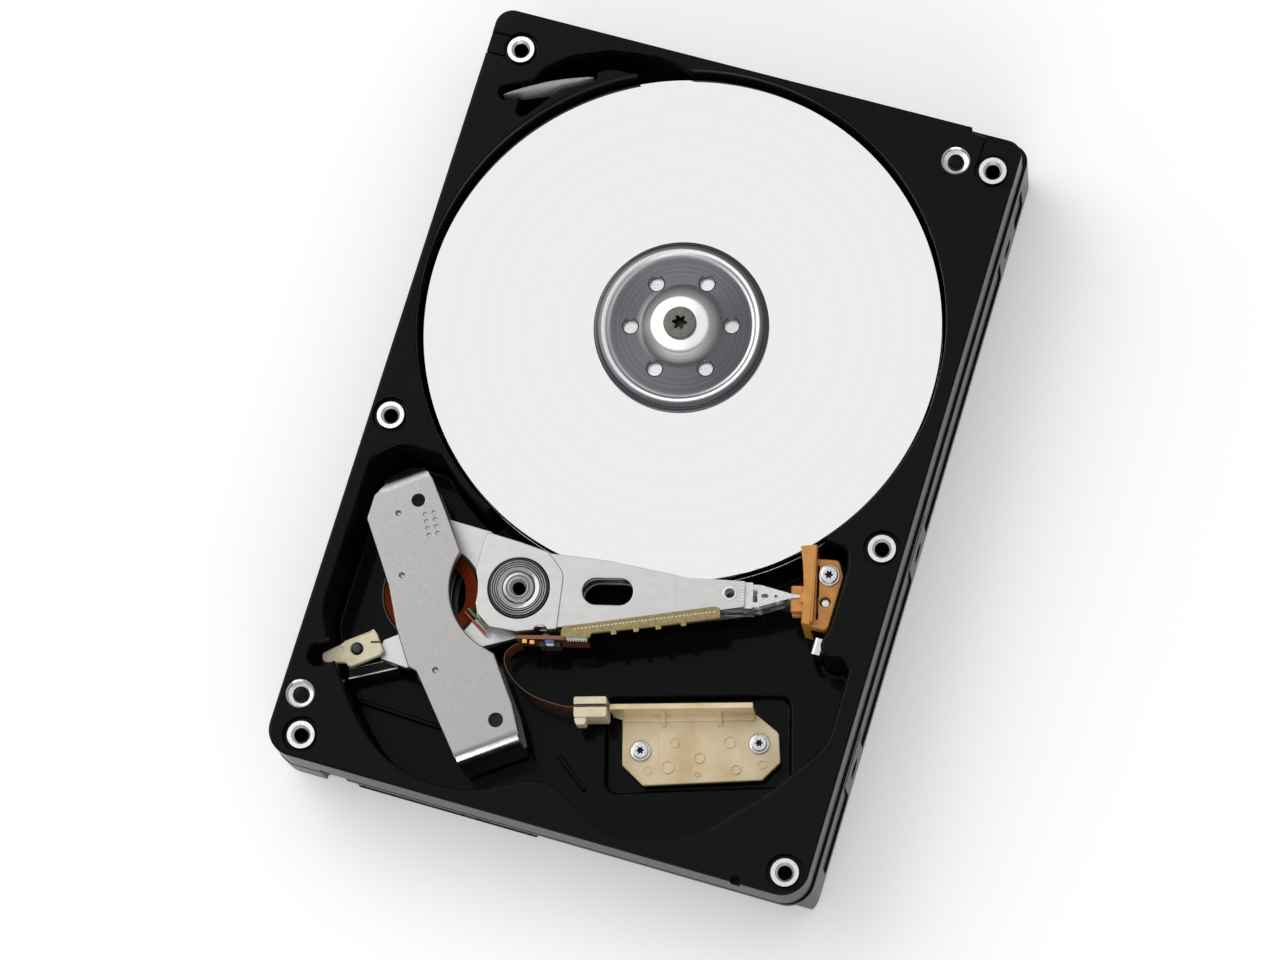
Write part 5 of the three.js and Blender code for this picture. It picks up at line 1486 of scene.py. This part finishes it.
def sata_connector():
    """Plug housing with the keyed tongues for power and data, and their contact strips."""
    lo, hi = low("sata_connector"), high("sata_connector")
    bays = [(-35.2, -15.2, 15), (-13.2, -2.4, 7)]
    housing = block(lo.x, lo.y, lo.z, hi.x, hi.y, hi.z, 0.15, 0.25)
    cutters, contacts = [], []
    for x0, x1, count in bays:
        bay = facing_y(prism(rectangle(x0, lo.z + 0.9, x1, hi.z - 0.9, 0.3), lo.y - 1, lo.y + 4.5))
        tongue_low, tongue_high = lo.z + 1.8, lo.z + 3.0
        tongue = block(x0 + 0.8, lo.y - 2, tongue_low, x1 - 0.8, lo.y + 6, tongue_high)
        key = block(x1 - 2.0, lo.y - 2, tongue_low - 0.95, x1 - 0.8, lo.y + 6, tongue_high - 0.5)
        cutters.append(cut(bay, join(tongue, key)))
        for i in range(count):
            x = x0 + 1.4 + 1.27 * i
            contacts.append(block(x - 0.4, lo.y + 0.5, tongue_high - 0.02,
                                  x + 0.4, lo.y + 4.4, tongue_high + 0.08, 0.03))
    add("sata_housing", cut(housing, *cutters), "black_plastic", stands_for="sata_connector")
    add("sata_contacts", merged(*contacts), "screw", "gold", body="base")


def jumper_block():
    lo, hi = low("jumper_block"), high("jumper_block")
    face = -HALF_LENGTH + BOARD_BAY_DEPTH + 0.6
    add("jumper_header", block(lo.x, face + 2.6, lo.z, hi.x, hi.y, hi.z, 0.15, 0.2), "black_plastic",
        stands_for="jumper_block")
    pins = []
    for column in range(4):
        for z in (3.2, 5.4):
            x = lo.x + 1 + column * 2.54
            outline = rectangle(x, z, x + 0.6, z + 0.6, 0.05, 2)
            pins.append(facing_y(prism(outline, face - 0.4, face + 2.9, 0.12)))
    add("jumper_pins", merged(*pins), "screw", "gold", body="base")


def board_screws():
    """Screws driven from below: drawn head up, then turned over."""
    head = 0.6
    for number, at in enumerate(BOARD_SCREWS, 1):
        node = f"board_screw_{number}"
        bottom, top = heights(node)
        solid = screw_solid(2.4, 0.0, head, 1.0, head - (top - bottom), recess=0.45)
        points = solid[0] * (1, 1, -1)
        points[:, 2] += bottom + head
        add(node + "_torx", (points, [face[::-1] for face in solid[1]]), "screw", stands_for=node, at=at)


def hidden_nodes():
    """Pieces that are buried in the motor keep their CAD shape, with a better material."""
    looks = {
        "motor_base": "hub", "wound_stator": "copper", "rotor_magnet": "magnet", "spindle_shaft": "steel",
        "spindle_hub": "hub", "platter_spacer": "hub", "motor_contacts": "black_plastic"}
    for node, look in looks.items():
        for slot in frame["nodes"][node].material_slots:
            slot.material = FINISHES[look]


# ---------------------------------------------------------------- studio


def camera_axes():
    azimuth, elevation, roll = (math.radians(CAMERA[k]) for k in ("azimuth", "elevation", "roll"))
    back = Vector((math.sin(azimuth) * math.cos(elevation), -math.cos(azimuth) * math.cos(elevation),
                   math.sin(elevation)))
    right = Vector((0, 0, 1)).cross(back).normalized()
    up = back.cross(right)
    rolled_up = up * math.cos(roll) + right * math.sin(roll)
    rolled_right = right * math.cos(roll) - up * math.sin(roll)
    return rolled_right, rolled_up, back


def make_camera():
    right, up, back = camera_axes()
    data = bpy.data.cameras.new("camera")
    data.lens = CAMERA["lens"]
    data.sensor_width = CAMERA["sensor"]
    data.clip_start, data.clip_end = 0.01, 20
    obj = bpy.data.objects.new("camera", data)
    rotation = Matrix((right, up, back)).transposed().to_4x4()
    place = (Vector(CAMERA["target"]) + back * CAMERA["distance"]) * MM
    obj.matrix_world = Matrix.Translation(place) @ rotation
    bpy.context.scene.collection.objects.link(obj)
    bpy.context.scene.camera = obj


def area_light(name, place, size, power):
    """A rectangular light that looks at the part's origin."""
    data = bpy.data.lights.new(name, "AREA")
    data.shape = "RECTANGLE"
    data.size, data.size_y = size
    data.energy = power
    obj = bpy.data.objects.new(name, data)
    obj.location = place
    obj.rotation_mode = "QUATERNION"
    obj.rotation_quaternion = (-Vector(place)).to_track_quat("-Z", "Y")
    bpy.context.scene.collection.objects.link(obj)


def studio():
    corners = np.array([(-3, -3, 0), (3, -3, 0), (3, 3, 0), (-3, 3, 0)], float)
    mesh = new_mesh("floor", (corners, [(0, 1, 2, 3)]))
    floor = bpy.data.objects.new("floor", mesh)
    floor.location.z = -0.0001
    material = bpy.data.materials.new("pale_floor")
    material.use_nodes = True
    shader = material.node_tree.nodes["Principled BSDF"]
    shader.inputs["Base Color"].default_value = (0.93, 0.93, 0.93, 1)
    shader.inputs["Roughness"].default_value = 0.9
    shader.inputs["Specular IOR Level"].default_value = 0.1
    shader.inputs["Emission Color"].default_value = (1, 1, 1, 1)
    shader.inputs["Emission Strength"].default_value = 0.22
    mesh.materials.append(material)
    bpy.context.scene.collection.objects.link(floor)
    world = bpy.data.worlds.new("studio")
    world.use_nodes = True
    background = world.node_tree.nodes["Background"]
    background.inputs["Color"].default_value = (1, 1, 1, 1)
    background.inputs["Strength"].default_value = 0.42
    bpy.context.scene.world = world
    area_light("overhead", (-0.25, 0.38, 1.5), (1.9, 1.9), 5.6)
    area_light("key", (-0.9, 0.3, 1.1), (1.1, 1.1), 6.5)
    area_light("rim", (0.3, -1.1, 0.8), (1.2, 0.4), 4.0)
    bpy.context.scene.view_settings.view_transform = "Standard"
    bpy.context.scene.view_settings.look = "None"


make_camera()
base_casting()
cover_pins()
recirculation_filter()
platters()
disk_clamp()
clamp_screw()
upper_yoke()
lower_yoke()
motor_magnets()
crash_stop()
crash_stop_rims()
carriage()
bearing_sleeve()
bearing_shaft()
wire_coil()
coil_bonding()
coil_leads()
for suspension_number in range(1, 5):
    suspension(suspension_number)
top_arm_details()
wire_strip()
strip_film()
strip_pads()
actuator_flex()
flex_parts()
flexible_cable()
flex_bracket()
bracket_screws()
flex_clamp()
head_connector()
latch()
latch_post()
load_ramp()
ramp_fasteners()
ramp_tab()
circuit_board()
board_pads()
board_small_parts()
packaged_chip("controller", "controller_chip", 24)
packaged_chip("memory", "memory_chip", 18)
packaged_chip("motor_driver", "motor_driver_chip", 14)
sata_connector()
jumper_block()
board_screws()
hidden_nodes()
studio()
